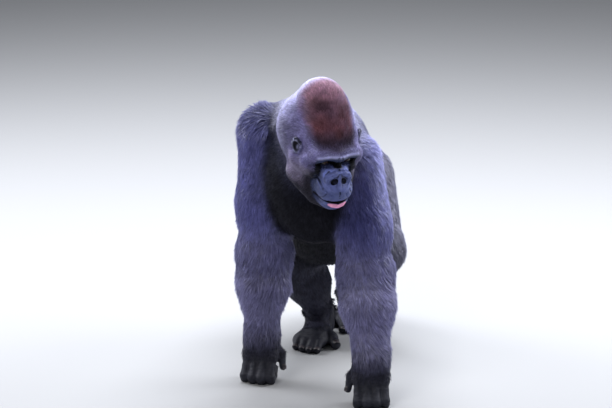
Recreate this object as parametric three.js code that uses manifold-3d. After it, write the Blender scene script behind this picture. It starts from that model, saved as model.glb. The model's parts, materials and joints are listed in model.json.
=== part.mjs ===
// A young male western lowland gorilla, life size, standing on its knuckles with its left hand forward
// and its head turned to its left and bent down. The body is shaped whole, as one smooth sum of simple
// masses out to the tips of the coat, and then parted with thin cuts where its parts are named.
// Millimetres. +Z is up, the animal faces -Y and +X is its left side. The floor is at Z = 0.
import * as THREE from 'three';
import { mergeVertices } from 'three/addons/utils/BufferGeometryUtils.js';
import { SimplifyModifier } from 'three/addons/modifiers/SimplifyModifier.js';
import Module from 'manifold-3d';

const wasm = await Module();
wasm.setup();

// ---- driving dimensions -------------------------------------------------------------------------

const seamGap = 0.3; // the thin cut between two neighbouring parts
const outwards = { left: 1, right: -1 }; // the sign of X on each side
const sides = Object.keys(outwards);

// How fine each region's surface is: the side of the cubes that it is worked out on, and about how many
// triangles it is then brought down to, which stay close together only where it bends.
const grain = { body: 22, head: 9, hand: 7, foot: 8, ear: 9.5 };
const triangles = { body: 1420, head: 1500, hand: 320, foot: 260 };

// Where the bones meet.
const joint = {
  left: {
    shoulder: V(118, -292, 696), elbow: V(148, -314, 366), wrist: V(176, -424, 138),
    hip: V(84, 290, 490), knee: V(148, 160, 290), ankle: V(44, 388, 92),
  },
  right: {
    shoulder: V(-150, -234, 752), elbow: V(-160, -196, 378), wrist: V(-164, -236, 138),
    hip: V(-84, 290, 490), knee: V(-106, 78, 314), ankle: V(-34, 176, 88),
  },
};

// Half widths of the limbs, out to the tips of the coat.
const girth = {
  shoulder: { left: 66, right: 80 }, upperArm: 77, elbow: 70, forearm: 68, wrist: 46,
  thigh: 94, knee: 71, calf: 64, ankle: 44,
};

const headPose = { centre: V(40, -455, 767), yaw: 28, pitch: 21, roll: -2 };
const heading = { left: 6, right: -8 }; // how far each hand and foot turns out, in degrees
const betweenLegs = { at: V(5, 282, 0), slant: 0.085 }; // the upright plane that parts the legs

// A hand on its knuckles, from the index finger to the little finger.
const finger = { names: ['index', 'middle', 'ring', 'little'], spacing: 25, radius: 12.8, sink: 1.8 };
const fingerLength = [0.9, 1, 0.97, 0.84];

// A foot, from the second toe to the fifth.
const toe = { names: ['second', 'third', 'fourth', 'fifth'], spacing: 22.5, radius: 12, sink: 2 };
const toeReach = [158, 162, 153, 139];

const eye = { across: 32, out: 84, up: 17, radius: 13.5, gap: 0.6 };
const ear = { across: 91, back: -21, up: 35 };

// ---- masses: each is a function of a point that says about how far outside it the point lies ----

function V(x, y, z) {
  return new THREE.Vector3(x, y, z);
}

const rad = THREE.MathUtils.degToRad;
const mix = (a, b, t) => a.clone().lerp(b, t);
const turned = ({ pitch = 0, roll = 0, yaw = 0 }) => new THREE.Euler(rad(pitch), rad(roll), rad(yaw), 'ZYX');

// A rod with round ends that tapers from one radius to the other.
function rod(from, to, fromRadius, toRadius = fromRadius) {
  const along = to.clone().sub(from);
  const lengthSq = Math.max(along.lengthSq(), 1e-6);
  return (p) => {
    const x = p.x - from.x, y = p.y - from.y, z = p.z - from.z;
    const t = THREE.MathUtils.clamp((x * along.x + y * along.y + z * along.z) / lengthSq, 0, 1);
    const gone = Math.hypot(x - t * along.x, y - t * along.y, z - t * along.z);
    return gone - (fromRadius + t * (toRadius - fromRadius));
  };
}

// An egg with three half widths, turned by pitch about X, then roll about Y, then yaw about Z.
function egg(centre, half, turn = {}) {
  const back = new THREE.Matrix4().makeRotationFromEuler(turned(turn)).invert().elements;
  return (p) => {
    const x = p.x - centre.x, y = p.y - centre.y, z = p.z - centre.z;
    const u = (back[0] * x + back[4] * y + back[8] * z) / half.x;
    const v = (back[1] * x + back[5] * y + back[9] * z) / half.y;
    const w = (back[2] * x + back[6] * y + back[10] * z) / half.z;
    const size = Math.hypot(u, v, w);
    const slope = Math.hypot(u / half.x, v / half.y, w / half.z);
    return slope > 1e-9 ? (size * (size - 1)) / slope : -Math.min(half.x, half.y, half.z);
  };
}

// The sum of masses, with every crease between them filled over about the given softness.
function blend(softness, ...masses) {
  return (p) => {
    let d = masses[0](p);
    for (let i = 1; i < masses.length; i++) {
      const other = masses[i](p);
      const near = Math.max(softness - Math.abs(d - other), 0);
      d = Math.min(d, other) - (near * near) / (4 * softness);
    }
    return d;
  };
}

// A mass with hollows pressed into it.
function carve(softness, mass, ...hollows) {
  return (p) => {
    let d = mass(p);
    for (const hollow of hollows) {
      const other = -hollow(p);
      const near = Math.max(softness - Math.abs(d - other), 0);
      d = Math.max(d, other) + (near * near) / (4 * softness);
    }
    return d;
  };
}

// A mass described in a frame of its own. Far from its centre only the distance to it is given, which
// saves most of the work.
function placed(frame, reach, mass) {
  const back = frame.clone().invert();
  const local = V(0, 0, 0);
  return (p) => {
    local.copy(p).applyMatrix4(back);
    const away = local.length() - reach;
    return away > 60 ? away : mass(local);
  };
}

// ---- the frames of the head, hands and feet -----------------------------------------------------

// Head frame: origin between the ear holes, -Y out through the nose, +Z out through the crown.
const headFrame = new THREE.Matrix4()
  .makeRotationFromEuler(turned(headPose))
  .setPosition(headPose.centre);
const headPoint = (x, y, z) => V(x, y, z).applyMatrix4(headFrame);
const eachSide = (make) => [make(1), make(-1)];

// Hand and foot frames: origin on the floor below the wrist or ankle and -Y towards the tips. In their
// masses +X is towards the little finger or toe, so one description serves both sides.
function groundFrame(side, over) {
  return new THREE.Matrix4().makeRotationZ(rad(heading[side])).setPosition(over.x, over.y, 0);
}
const mirrored = (side) => new THREE.Matrix4().makeScale(outwards[side], 1, 1);

// ---- trunk, neck and limbs ----------------------------------------------------------------------

const trunk = blend(
  90,
  egg(V(0, -120, 604), V(163, 250, 190), { pitch: -17 }), // rib cage
  egg(V(0, 84, 468), V(172, 236, 196), { pitch: -7 }), // belly and loins
  egg(V(0, 280, 484), V(118, 130, 122), { pitch: -25 }), // rump
  egg(V(-14, -214, 724), V(136, 128, 108)), // shoulder blades and withers
  egg(V(0, -286, 585), V(104, 88, 140), { pitch: 8 }), // breast
);

const neck = blend(
  60,
  rod(V(-16, -232, 748), headPoint(0, 66, 26), 114, 102), // nape
  rod(V(-4, -290, 650), headPoint(0, 34, -44), 92, 64), // throat
);

function armOf(side) {
  const { shoulder, elbow, wrist } = joint[side];
  const back = (p, far) => p.clone().add(V(0, far, 0));
  return blend(
    40,
    rod(shoulder, shoulder, girth.shoulder[side]),
    rod(mix(shoulder, elbow, 0.2), mix(shoulder, elbow, 0.6), girth.upperArm, girth.upperArm),
    rod(mix(shoulder, elbow, 0.55), elbow, girth.upperArm - 2, girth.elbow),
    rod(back(mix(shoulder, elbow, 0.35), 20), elbow, 58, 58), // triceps
    rod(back(elbow, 12), mix(elbow, wrist, 0.3), 60, 58), // point of the elbow
    rod(elbow, mix(elbow, wrist, 0.4), girth.elbow - 2, girth.forearm),
    rod(mix(elbow, wrist, 0.38), wrist, girth.forearm, girth.wrist),
  );
}

function legOf(side) {
  const { hip, knee, ankle } = joint[side];
  return blend(
    45,
    rod(hip, knee, girth.thigh, girth.knee),
    rod(mix(hip, knee, 0.1).add(V(0, 36, -36)), mix(hip, knee, 0.8).add(V(0, 30, -18)), 82, 60), // ham
    rod(knee, mix(knee, ankle, 0.5), girth.knee - 4, girth.calf),
    rod(mix(knee, ankle, 0.4), ankle, girth.calf, girth.ankle),
  );
}

// ---- hands and feet, over a wrist or ankle at the given height ----------------------------------

// The palm stands up behind, the first bones of the fingers reach down and forward, the second lie on
// the floor with their backs down, and the tips curl up under the palm.
function fingerBones(i) {
  const x = (i - 1.5) * finger.spacing;
  const fan = (i - 1.5) * 1.5;
  const bow = -6 * (1 - Math.abs(i - 1.2) / 2);
  const reach = fingerLength[i];
  return {
    palm: V(x * 0.62, 2, 112), knuckle: V(x * 0.97, -18 + bow, 74),
    bend: V(x + fan, -60 * reach + bow, finger.radius + 9),
    down: V(x + fan, -52 * reach + bow, finger.radius - finger.sink),
    curl: V(x, -12 + bow, finger.radius + 1), tip: V(x, 8 + bow, finger.radius + 20),
  };
}

function fingerOf(i) {
  const { knuckle, bend, down, curl, tip } = fingerBones(i);
  const r = finger.radius;
  return blend(
    7,
    rod(knuckle, bend, r + 2.6, r + 0.4),
    rod(bend, down, r + 0.4, r),
    rod(down, curl, r, r - 0.8),
    rod(curl, tip, r - 0.8, r - 2.6),
  );
}

function handOf(wristHeight) {
  return blend(
    12,
    blend(
      18,
      rod(V(0, 0, wristHeight + 6), V(0, 0, wristHeight - 30), 36, 37),
      ...finger.names.map((name, i) => rod(fingerBones(i).palm, fingerBones(i).knuckle, 24, 17)),
      rod(V(-20, 10, wristHeight - 30), V(-34, 4, 92), 22, 17), // ball of the thumb
      rod(V(24, 8, wristHeight - 32), V(36, 2, 84), 19, 15), // outer edge
    ),
    ...finger.names.map((name, i) => fingerOf(i)),
    blend(6, rod(V(-36, 6, 100), V(-59, 2, 80), 16, 12), rod(V(-59, 2, 80), V(-67, -12, 44), 12, 9.5)), // thumb
  );
}

function toeOf(i) {
  const x = (i - 1.28) * toe.spacing;
  const root = V(x, -100, 18), tip = V(x * 1.06, -toeReach[i], toe.radius - toe.sink);
  const middle = mix(root, tip, 0.5).add(V(0, 0, 8));
  return blend(6, rod(root, middle, 13.4, toe.radius), rod(middle, tip, toe.radius, toe.radius - 1));
}

function footOf(ankleHeight) {
  return blend(
    14,
    blend(
      26,
      rod(V(0, 0, ankleHeight + 6), V(0, 4, ankleHeight - 26), 35, 36),
      egg(V(0, 38, 30), V(34, 42, 36)), // heel
      rod(V(0, 10, 42), V(2, -72, 30), 38, 30), // arch
      rod(V(20, 20, 22), V(34, -96, 19), 24, 21), // outer edge
      rod(V(-10, -40, 28), V(-16, -96, 22), 26, 22), // inner edge
      egg(V(6, -100, 18), V(50, 32, 22)), // ball
    ),
    ...toe.names.map((name, i) => toeOf(i)),
    blend(12, rod(V(-20, -26, 28), V(-54, -64, 21), 24, 19), rod(V(-54, -64, 21), V(-76, -104, 14), 19, 15.5)), // big toe
  );
}

// ---- head and ears ------------------------------------------------------------------------------

const skull = blend(
  34,
  egg(V(0, 20, 58), V(84, 108, 90)), // brain case
  egg(V(0, 46, 98), V(74, 88, 92), { pitch: 10 }), // crest and the hair on it
  egg(V(0, -40, 50), V(72, 48, 48)), // forehead
  egg(V(0, 84, 24), V(102, 70, 94)), // nape
  ...eachSide((s) => egg(V(s * 52, 4, -10), V(38, 74, 76))), // cheek muscles
);

const face = blend(
  20,
  ...eachSide((s) => rod(V(0, -97, 43), V(s * 50, -84, 36), 18, 17)), // brow ridge
  ...eachSide((s) => rod(V(s * 50, -84, 36), V(s * 74, -58, 8), 17, 18)), // outer end of the brow
  ...eachSide((s) => rod(V(s * 50, -68, -14), V(s * 78, -14, -14), 22, 26)), // cheek bone
  egg(V(0, -58, -24), V(62, 44, 62)), // middle of the face
  rod(V(0, -90, 20), V(0, -112, -16), 17, 21), // bridge of the nose
  egg(V(0, -118, -28), V(34, 20, 20)), // nose
  egg(V(0, -92, -66), V(54, 57, 38)), // muzzle
  egg(V(0, -114, -82), V(46, 32, 20)), // upper lip
  egg(V(0, -104, -108), V(42, 34, 19)), // lower lip
  egg(V(0, -86, -116), V(43, 42, 28)), // chin
  ...eachSide((s) => rod(V(s * 34, -66, -104), V(s * 62, 2, -72), 34, 40)), // jaw
);

const headMass = carve(
  9,
  blend(26, skull, face),
  ...eachSide((s) => egg(V(s * eye.across, -99, 15), V(20, 18, 13))), // eye hollows
  ...eachSide((s) => egg(V(s * 15, -135, -31), V(8, 9, 6.5), { pitch: -30 })), // nostrils
);

// The ear is a thin cup, hollowed on the side that faces out and forward.
function earOf(s) {
  const turn = { pitch: -6, roll: s * 8, yaw: s * -28 };
  const hollow = V(s * (ear.across + 12), ear.back - 10, ear.up);
  return carve(4, egg(V(s * ear.across, ear.back, ear.up), V(12, 21, 27), turn), egg(hollow, V(9, 13, 18), turn));
}

// ---- the whole animal ---------------------------------------------------------------------------

const head = placed(headFrame, 240, headMass);
const body = blend(26, blend(46, blend(60, trunk, neck), ...sides.map(armOf), ...sides.map(legOf)), head);

// An arm or a leg with its hand or foot.
function limbOf(side, over, limb, end) {
  const frame = groundFrame(side, over).multiply(mirrored(side));
  return blend(14, limb(side), placed(frame, 200, end(over.z)));
}

// ---- from a mass to a solid ---------------------------------------------------------------------

// A cube's twelve edges, each with the corners it joins, and the ring of edges about each face.
const cubeEdges = [0, 1, 2, 3, 4, 5, 6, 7].flatMap((start) =>
  [0, 1, 2].filter((axis) => !(start & (1 << axis)))
    .map((axis) => ({ key: start * 3 + axis, start, end: start | (1 << axis) })));
const cubeFaces = [0, 1, 2].flatMap((axis) => [0, 1 << axis].map((base) => {
  const u = 1 << ((axis + 1) % 3), v = 1 << ((axis + 2) % 3);
  const ring = [base, base | u, base | u | v, base | v];
  return ring.map((corner, n) => {
    const [low, high] = [corner & ring[(n + 1) % 4], corner | ring[(n + 1) % 4]];
    return { corner, edge: cubeEdges.findIndex((e) => e.start === low && e.end === high) };
  });
}));

// The sheets in which a surface passes through a cube: the lists of the edges that each sheet crosses.
// On a face with four crossings, the two beside each inside corner belong together.
function sheetsOf(values) {
  const crossed = cubeEdges.map((e) => values[e.start] < 0 !== values[e.end] < 0);
  const sheet = cubeEdges.map((e, n) => n);
  const join = (a, b) => {
    const [keep, drop] = [sheet[a], sheet[b]];
    sheet.forEach((s, n) => { if (s === drop) sheet[n] = keep; });
  };
  for (const face of cubeFaces) {
    const cut = face.filter((f) => crossed[f.edge]);
    if (cut.length === 2) join(cut[0].edge, cut[1].edge);
    if (cut.length === 4)
      face.forEach((f, n) => { if (values[f.corner] < 0) join(f.edge, face[(n + 3) % 4].edge); });
  }
  return [...new Set(sheet.filter((s, n) => crossed[n]))]
    .map((s) => cubeEdges.filter((e, n) => crossed[n] && sheet[n] === s));
}

// Moves a point along the slope of a mass until the mass is zero there, at most reach from middle.
function slide(mass, p, middle, reach) {
  const step = 0.5;
  for (let pass = 0; pass < 4; pass++) {
    const d = mass(p);
    const slope = V(...['x', 'y', 'z'].map((axis) => {
      const beside = p.clone();
      beside[axis] += step;
      return (mass(beside) - d) / step;
    }));
    p.addScaledVector(slope, -d / Math.max(slope.lengthSq(), 0.2));
  }
  const room = V(reach, reach, reach);
  return p.clamp(middle.clone().sub(room), middle.clone().add(room));
}

// The surface on which a mass is zero, inside a box, as a closed geometry. In each cube of a grid, each
// sheet gives one vertex, slid onto the surface, and each edge of the grid that crosses the surface
// gives two triangles. The surface is closed where it runs out of the box. Last, where a count is given,
// it is made as coarse as the count allows.
async function surfaceOf(mass, box, cell, count) {
  const [nx, ny, nz] = box.getSize(V(0, 0, 0)).divideScalar(cell).toArray().map((n) => Math.ceil(n) + 1);
  const at = (i, j, k) => (k * ny + j) * nx + i;
  const point = (i, j, k) => V(i, j, k).multiplyScalar(cell).add(box.min);
  const value = new Float64Array(nx * ny * nz);
  for (let k = 0; k < nz; k++)
    for (let j = 0; j < ny; j++)
      for (let i = 0; i < nx; i++) {
        const rim = i < 2 || j < 2 || k < 2 || i > nx - 3 || j > ny - 3 || k > nz - 3;
        const d = mass(point(i, j, k));
        value[at(i, j, k)] = rim ? Math.max(d, cell / 2) : d;
      }

  const positions = [];
  const found = new Map();
  function verticesOf(i, j, k) {
    const cube = at(i, j, k);
    if (found.has(cube)) return found.get(cube);
    const corner = (c) => [i + (c & 1), j + ((c >> 1) & 1), k + (c >> 2)];
    const values = [0, 1, 2, 3, 4, 5, 6, 7].map((c) => value[at(...corner(c))]);
    const vertexOf = {};
    for (const sheet of sheetsOf(values)) {
      const sum = V(0, 0, 0);
      for (const { key, start, end } of sheet) {
        const t = values[start] / (values[start] - values[end]);
        sum.add(point(...corner(start)).lerp(point(...corner(end)), t));
        vertexOf[key] = positions.length / 3;
      }
      const middle = point(i + 0.5, j + 0.5, k + 0.5);
      positions.push(...slide(mass, sum.divideScalar(sheet.length), middle, cell * 0.6));
    }
    found.set(cube, vertexOf);
    return vertexOf;
  }

  const index = [];
  for (let k = 1; k < nz - 1; k++)
    for (let j = 1; j < ny - 1; j++)
      for (let i = 1; i < nx - 1; i++)
        for (let axis = 0; axis < 3; axis++) {
          const inside = value[at(i, j, k)] < 0;
          const next = [i, j, k];
          next[axis] += 1;
          if (inside === value[at(...next)] < 0) continue;
          const u = (axis + 1) % 3, v = (axis + 2) % 3;
          const [a, b, c, d] = [[1, 1], [0, 1], [0, 0], [1, 0]].map(([du, dv]) => {
            const cube = [i, j, k];
            cube[u] -= du;
            cube[v] -= dv;
            return verticesOf(...cube)[((du << u) | (dv << v)) * 3 + axis];
          });
          if (inside) index.push(a, b, c, a, c, d);
          else index.push(a, c, b, a, d, c);
        }
  const fine = new THREE.BufferGeometry()
    .setAttribute('position', new THREE.Float32BufferAttribute(positions, 3))
    .setIndex(new THREE.BufferAttribute(new Uint32Array(index), 1));
  if (!count) return fine;
  const spare = 1 - count / (index.length / 3);
  return simplifier.modify(fine, Math.round((spare * positions.length) / 3));
}
const simplifier = new SimplifyModifier();

function solidOf(geometry) {
  geometry.deleteAttribute('normal');
  geometry.deleteAttribute('uv');
  const merged = mergeVertices(geometry, 1e-4);
  return new wasm.Manifold(new wasm.Mesh({
    numProp: 3,
    vertProperties: new Float32Array(merged.attributes.position.array),
    triVerts: new Uint32Array(merged.index.array),
  }));
}

function geometryOf(solid) {
  const mesh = solid.getMesh();
  return new THREE.BufferGeometry()
    .setAttribute('position', new THREE.BufferAttribute(new Float32Array(mesh.vertProperties), 3))
    .setIndex(new THREE.BufferAttribute(new Uint32Array(mesh.triVerts), 1));
}

// ---- cutting ------------------------------------------------------------------------------------

// All that lies beyond a plane through a point, in the given direction, less a margin.
function beyond([point, direction], margin) {
  const far = 1600;
  const turn = new THREE.Quaternion().setFromUnitVectors(V(0, 0, 1), direction.clone().normalize());
  const geometry = new THREE.BoxGeometry(2 * far, 2 * far, far)
    .translate(0, 0, far / 2 + margin).applyQuaternion(turn).translate(...point);
  return solidOf(geometry);
}

const within = (planes, margin = 0) =>
  planes.map((plane) => beyond(plane, margin)).reduce((a, b) => a.intersect(b));

// Takes what lies within the planes off a solid, and leaves a seam's gap. Gives both pieces.
function part(solid, ...planes) {
  return [solid.intersect(within(planes)), solid.subtract(within(planes, -seamGap))];
}

const box = (...corners) => new THREE.Box3().setFromPoints(corners);
const aboveFloor = [V(0, 0, 0), V(0, 0, 1)];
const down = V(0, 0, -1);

// ---- the parts ----------------------------------------------------------------------------------

const coat = new THREE.MeshStandardMaterial({ color: 0x3f4063, roughness: 0.75, metalness: 0 });
const paleCoat = new THREE.MeshStandardMaterial({ color: 0x83879f, roughness: 0.75, metalness: 0 });
const crownCoat = new THREE.MeshStandardMaterial({ color: 0x6b4a52, roughness: 0.75, metalness: 0 });
const bareSkin = new THREE.MeshStandardMaterial({ color: 0x353a52, roughness: 0.5, metalness: 0 });
const eyeball = new THREE.MeshStandardMaterial({ color: 0x2a1a12, roughness: 0.1, metalness: 0 });

function group(frame, parent) {
  const made = new THREE.Group();
  made.applyMatrix4(frame);
  parent.add(made);
  made.updateMatrixWorld(true);
  return made;
}

// Puts a solid, given in the animal's frame, into a group under a name.
function add(parent, name, solid, material) {
  const geometry = geometryOf(solid).applyMatrix4(parent.matrixWorld.clone().invert());
  const mesh = new THREE.Mesh(geometry, material);
  mesh.name = name;
  parent.add(mesh);
}

async function addHead(parent) {
  const frame = group(headFrame, parent);
  const reach = box(headPoint(0, 0, 0)).expandByScalar(260);
  let skullAndFace = solidOf(await surfaceOf(body, reach, grain.head, triangles.head * 1.3));
  skullAndFace = skullAndFace.intersect(within(headCuts));
  for (const side of sides) {
    const s = outwards[side];
    const place = headPoint(s * ear.across, ear.back, ear.up);
    const earBox = box(place).expandByScalar(54);
    const earMass = placed(headFrame, 240, earOf(s));
    const flap = await surfaceOf(earMass, earBox, grain.ear);
    add(frame, `ear_${side}`, solidOf(flap.clone()), bareSkin);
    flap.translate(...place.clone().negate()).scale(1.05, 1.05, 1.05).translate(...place);
    skullAndFace = skullAndFace.subtract(solidOf(flap)); // the pocket that the ear sits in

    const ball = (radius) => new THREE.SphereGeometry(radius, 12, 8)
      .rotateX(Math.PI / 2).translate(s * eye.across, -eye.out, eye.up);
    const mesh = new THREE.Mesh(ball(eye.radius), eyeball);
    mesh.name = `eye_${side}`;
    frame.add(mesh);
    skullAndFace = skullAndFace.subtract(solidOf(ball(eye.radius + eye.gap).applyMatrix4(headFrame)));
  }
  add(frame, 'head', skullAndFace, crownCoat);
}

async function addHand(parent, side) {
  const { wrist } = joint[side];
  const frame = group(groundFrame(side, wrist), parent);
  const at = (x, y, z) => V(x, y, z).applyMatrix4(mirrored(side)).applyMatrix4(frame.matrixWorld);
  const along = (x, y, z) => at(x, y, z).sub(at(0, 0, 0));
  const reach = box(at(0, -20, 80)).expandByVector(V(120, 120, 140));
  const mass = limbOf(side, wrist, armOf, handOf);
  let hand = solidOf(await surfaceOf(mass, reach, grain.hand, triangles.hand * 1.3));
  hand = hand.intersect(within([wristCut(side), aboveFloor]));
  let piece;

  [piece, hand] = part(hand, [at(-55.5, 0, 0), along(-1, 0, 0)], [at(0, 0, 90), along(0, 0, -1)]);
  add(frame, `thumb_${side}`, piece, bareSkin);
  const knuckles = [at(0, -16, 66), along(0, -0.45, -1)];
  finger.names.forEach((name, i) => {
    const edge = [at((i - 1) * finger.spacing, 0, 0), along(-1, 0, 0)];
    const planes = i < 3 ? [knuckles, edge] : [knuckles];
    [piece, hand] = part(hand, ...planes);
    add(frame, `${name}_finger_${side}`, piece, bareSkin);
  });
  add(frame, `hand_${side}`, hand, bareSkin);
}

async function addFoot(parent, side) {
  const { ankle } = joint[side];
  const frame = group(groundFrame(side, ankle), parent);
  const at = (x, y, z) => V(x, y, z).applyMatrix4(mirrored(side)).applyMatrix4(frame.matrixWorld);
  const along = (x, y, z) => at(x, y, z).sub(at(0, 0, 0));
  const reach = box(at(-10, -40, 60)).expandByVector(V(130, 175, 120));
  const mass = limbOf(side, ankle, legOf, footOf);
  let foot = solidOf(await surfaceOf(mass, reach, grain.foot, triangles.foot * 1.3));
  foot = foot.intersect(within([ankleCut(side), aboveFloor]));
  let piece;

  [piece, foot] = part(foot, [at(-38, -62, 0), along(-1, -0.55, 0)], [at(-38, 0, 0), along(-1, 0, 0)]);
  add(frame, `big_toe_${side}`, piece, bareSkin);
  const ball = [at(0, -120, 0), along(0, -1, 0)];
  toe.names.forEach((name, i) => {
    const edge = [at((i - 0.78) * toe.spacing * 1.03, 0, 0), along(-1, 0, 0)];
    const planes = i < 3 ? [ball, edge] : [ball];
    [piece, foot] = part(foot, ...planes);
    add(frame, `${name}_toe_${side}`, piece, bareSkin);
  });
  add(frame, `foot_${side}`, foot, bareSkin);
}

// Where the head, hands and feet end.
const inHead = (x, y, z) => V(x, y, z).transformDirection(headFrame);
const headCuts = [
  [headPoint(0, 62, -58), inHead(0, -0.87, 0.5)],
  [headPoint(0, 20, -122), inHead(0, -0.3, 1)],
  ...sides.map((side) => {
    const jaw = headPoint(outwards[side] * 68, 6, -74);
    return [mix(joint[side].shoulder, jaw, 0.68), jaw.clone().sub(joint[side].shoulder)];
  }),
];
const wristCut = (side) => [joint[side].wrist, down];
const ankleCut = (side) => [joint[side].ankle.clone().add(V(0, 0, 8)), down];

async function addBody(parent) {
  const reach = box(V(-300, -560, -80), V(300, 520, 980));
  let rest = solidOf(await surfaceOf(body, reach, grain.body, triangles.body * 1.15));
  rest = rest.subtract(within(headCuts, -seamGap));
  for (const side of sides) {
    const out = V(outwards[side], 0, 0);
    const { shoulder, elbow, wrist, hip, knee, ankle } = joint[side];
    const arm = [[V(outwards[side] * 60, 0, 0), out], [V(0, joint[side].elbow.y + 80, 0), V(0, -1, 0)]];
    const apart = V(1, betweenLegs.slant, 0).multiplyScalar(outwards[side]);
    const leg = [[betweenLegs.at, apart], [V(0, -60, 0), V(0, 1, 0)]];
    let piece;

    rest = rest.subtract(within([[wristCut(side)[0], down], ...arm], -seamGap));
    rest = rest.subtract(within([[ankleCut(side)[0], down], ...leg], -seamGap));
    [piece, rest] = part(rest, [elbow, mix(elbow, wrist, 0.5).sub(mix(shoulder, elbow, 0.5))], ...arm);
    add(parent, `forearm_${side}`, piece, coat);
    [piece, rest] = part(
      rest,
      [shoulder.clone().addScaledVector(out, -34), V(outwards[side], 0.05, -0.3)],
      [V(0, -96, 0), V(outwards[side] * 0.1, -1, 0)],
    );
    add(parent, `upper_arm_${side}`, piece, coat);
    [piece, rest] = part(rest, [knee, mix(knee, ankle, 0.5).sub(mix(hip, knee, 0.5))], ...leg);
    add(parent, `shank_${side}`, piece, coat);
    [piece, rest] = part(
      rest,
      [V(outwards[side] * 34, 0, 0), out],
      [mix(hip, knee, 0.14), knee.clone().sub(hip)],
      [mix(hip, knee, 0.5).add(V(0, -78, 50)), V(0, 0.84, -0.55)],
    );
    add(parent, `thigh_${side}`, piece, coat);
  }
  let neckPiece, chest, belly;
  [neckPiece, rest] = part(rest, [V(0, -300, 690), V(0.06, -0.85, 0.52)], [V(0, 0, 600), V(0, 0, 1)]);
  [chest, rest] = part(rest, [V(0, -30, 0), V(0, -1, -0.12)]);
  [belly, rest] = part(rest, [V(0, 196, 0), V(0, -1, -0.1)]);
  add(parent, 'neck', neckPiece, paleCoat);
  add(parent, 'chest', chest, coat);
  add(parent, 'belly', belly, coat);
  add(parent, 'pelvis', rest, coat);
}

const model = new THREE.Group();
const middle = new THREE.Group();
model.add(middle);
await addBody(middle);
await addHead(middle);
for (const side of sides) {
  await addHand(middle, side);
  await addFoot(middle, side);
}

// The origin is on the floor under the middle of the animal's box.
const extent = new THREE.Box3().setFromObject(model, true);
middle.position.set(-(extent.min.x + extent.max.x) / 2, -(extent.min.y + extent.max.y) / 2, -extent.min.z);

export default model;
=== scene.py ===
# The looks of a young male gorilla, life size, standing on its knuckles with its head turned and bent.
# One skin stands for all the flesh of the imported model. The coat over it is made of thin tufts.
# The shape functions work in the animal's own frame: millimetres, +Z up, facing -Y, +X its left side.
import json
import math
import bmesh
import bpy
import numpy as np
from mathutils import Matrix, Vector

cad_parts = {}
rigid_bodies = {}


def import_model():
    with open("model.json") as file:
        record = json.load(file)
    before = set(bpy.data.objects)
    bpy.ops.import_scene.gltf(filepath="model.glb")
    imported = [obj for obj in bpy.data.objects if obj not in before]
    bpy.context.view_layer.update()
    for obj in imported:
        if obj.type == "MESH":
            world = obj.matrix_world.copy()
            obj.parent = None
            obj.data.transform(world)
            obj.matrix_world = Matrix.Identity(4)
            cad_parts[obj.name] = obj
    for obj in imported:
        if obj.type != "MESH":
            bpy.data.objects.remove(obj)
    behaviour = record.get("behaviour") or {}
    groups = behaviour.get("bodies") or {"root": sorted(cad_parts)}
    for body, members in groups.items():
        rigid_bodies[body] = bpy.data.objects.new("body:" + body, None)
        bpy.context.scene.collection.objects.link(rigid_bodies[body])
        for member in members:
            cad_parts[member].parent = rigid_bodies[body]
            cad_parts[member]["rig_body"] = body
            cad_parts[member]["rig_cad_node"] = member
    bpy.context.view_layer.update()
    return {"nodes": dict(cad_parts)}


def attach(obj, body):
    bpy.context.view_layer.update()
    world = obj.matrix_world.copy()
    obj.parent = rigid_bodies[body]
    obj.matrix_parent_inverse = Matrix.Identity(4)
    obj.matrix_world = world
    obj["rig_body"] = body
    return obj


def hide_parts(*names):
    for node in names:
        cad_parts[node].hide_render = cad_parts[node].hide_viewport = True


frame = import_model()
ownOrigin = np.array([2.19, 56.73, 0.0])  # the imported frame's origin, in the animal's own frame, negated
dice = np.random.default_rng(7)


def toOwn(points):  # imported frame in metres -> own frame in millimetres
    return points * 1000 - ownOrigin


def toPacked(points):
    return (points + ownOrigin) / 1000


# Masses: each takes an (n, 3) array of points and says about how far outside it each one lies.

def unit(v):
    v = np.asarray(v, float)
    return v / np.maximum(np.linalg.norm(v, axis=-1, keepdims=True), 1e-9)


def smooth(low, high, x):  # 0 below low, 1 above high, an s-curve between
    t = np.clip((x - low) / (high - low), 0, 1)
    return t * t * (3 - 2 * t)


def mix(a, b, t):
    return np.asarray(a, float) * (1 - t) + np.asarray(b, float) * t


def turnOf(pitch=0, roll=0, yaw=0):  # yaw about Z, after roll about Y, after pitch about X
    (cp, sp), (cr, sr), (cy, sy) = [(math.cos(math.radians(a)), math.sin(math.radians(a)))
                                    for a in (pitch, roll, yaw)]
    aboutX = np.array([[1, 0, 0], [0, cp, -sp], [0, sp, cp]])
    aboutY = np.array([[cr, 0, sr], [0, 1, 0], [-sr, 0, cr]])
    aboutZ = np.array([[cy, -sy, 0], [sy, cy, 0], [0, 0, 1]])
    return aboutZ @ aboutY @ aboutX


# A rod with round ends: the distance to the nearest point on its line, less the radius there.
def rod(start, end, startRadius, endRadius=None):
    start, end = np.asarray(start, float), np.asarray(end, float)
    endRadius = startRadius if endRadius is None else endRadius
    along = end - start
    lengthSq = max(along @ along, 1e-6)

    def mass(p):
        q = p - start
        t = np.clip((q @ along) / lengthSq, 0, 1)
        return np.sqrt(((q - t[:, None] * along) ** 2).sum(1)) - (startRadius + t * (endRadius - startRadius))
    return mass


# An egg: the size of the point measured in half widths, turned back into a distance by its slope.
def egg(centre, half, pitch=0, roll=0, yaw=0):
    centre, half, turn = np.asarray(centre, float), np.asarray(half, float), turnOf(pitch, roll, yaw)

    def mass(p):
        q = (p - centre) @ turn / half
        size = np.sqrt((q ** 2).sum(1))
        slope = np.sqrt(((q / half) ** 2).sum(1))
        return np.where(slope > 1e-9, size * (size - 1) / np.maximum(slope, 1e-9), -half.min())
    return mass


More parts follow.
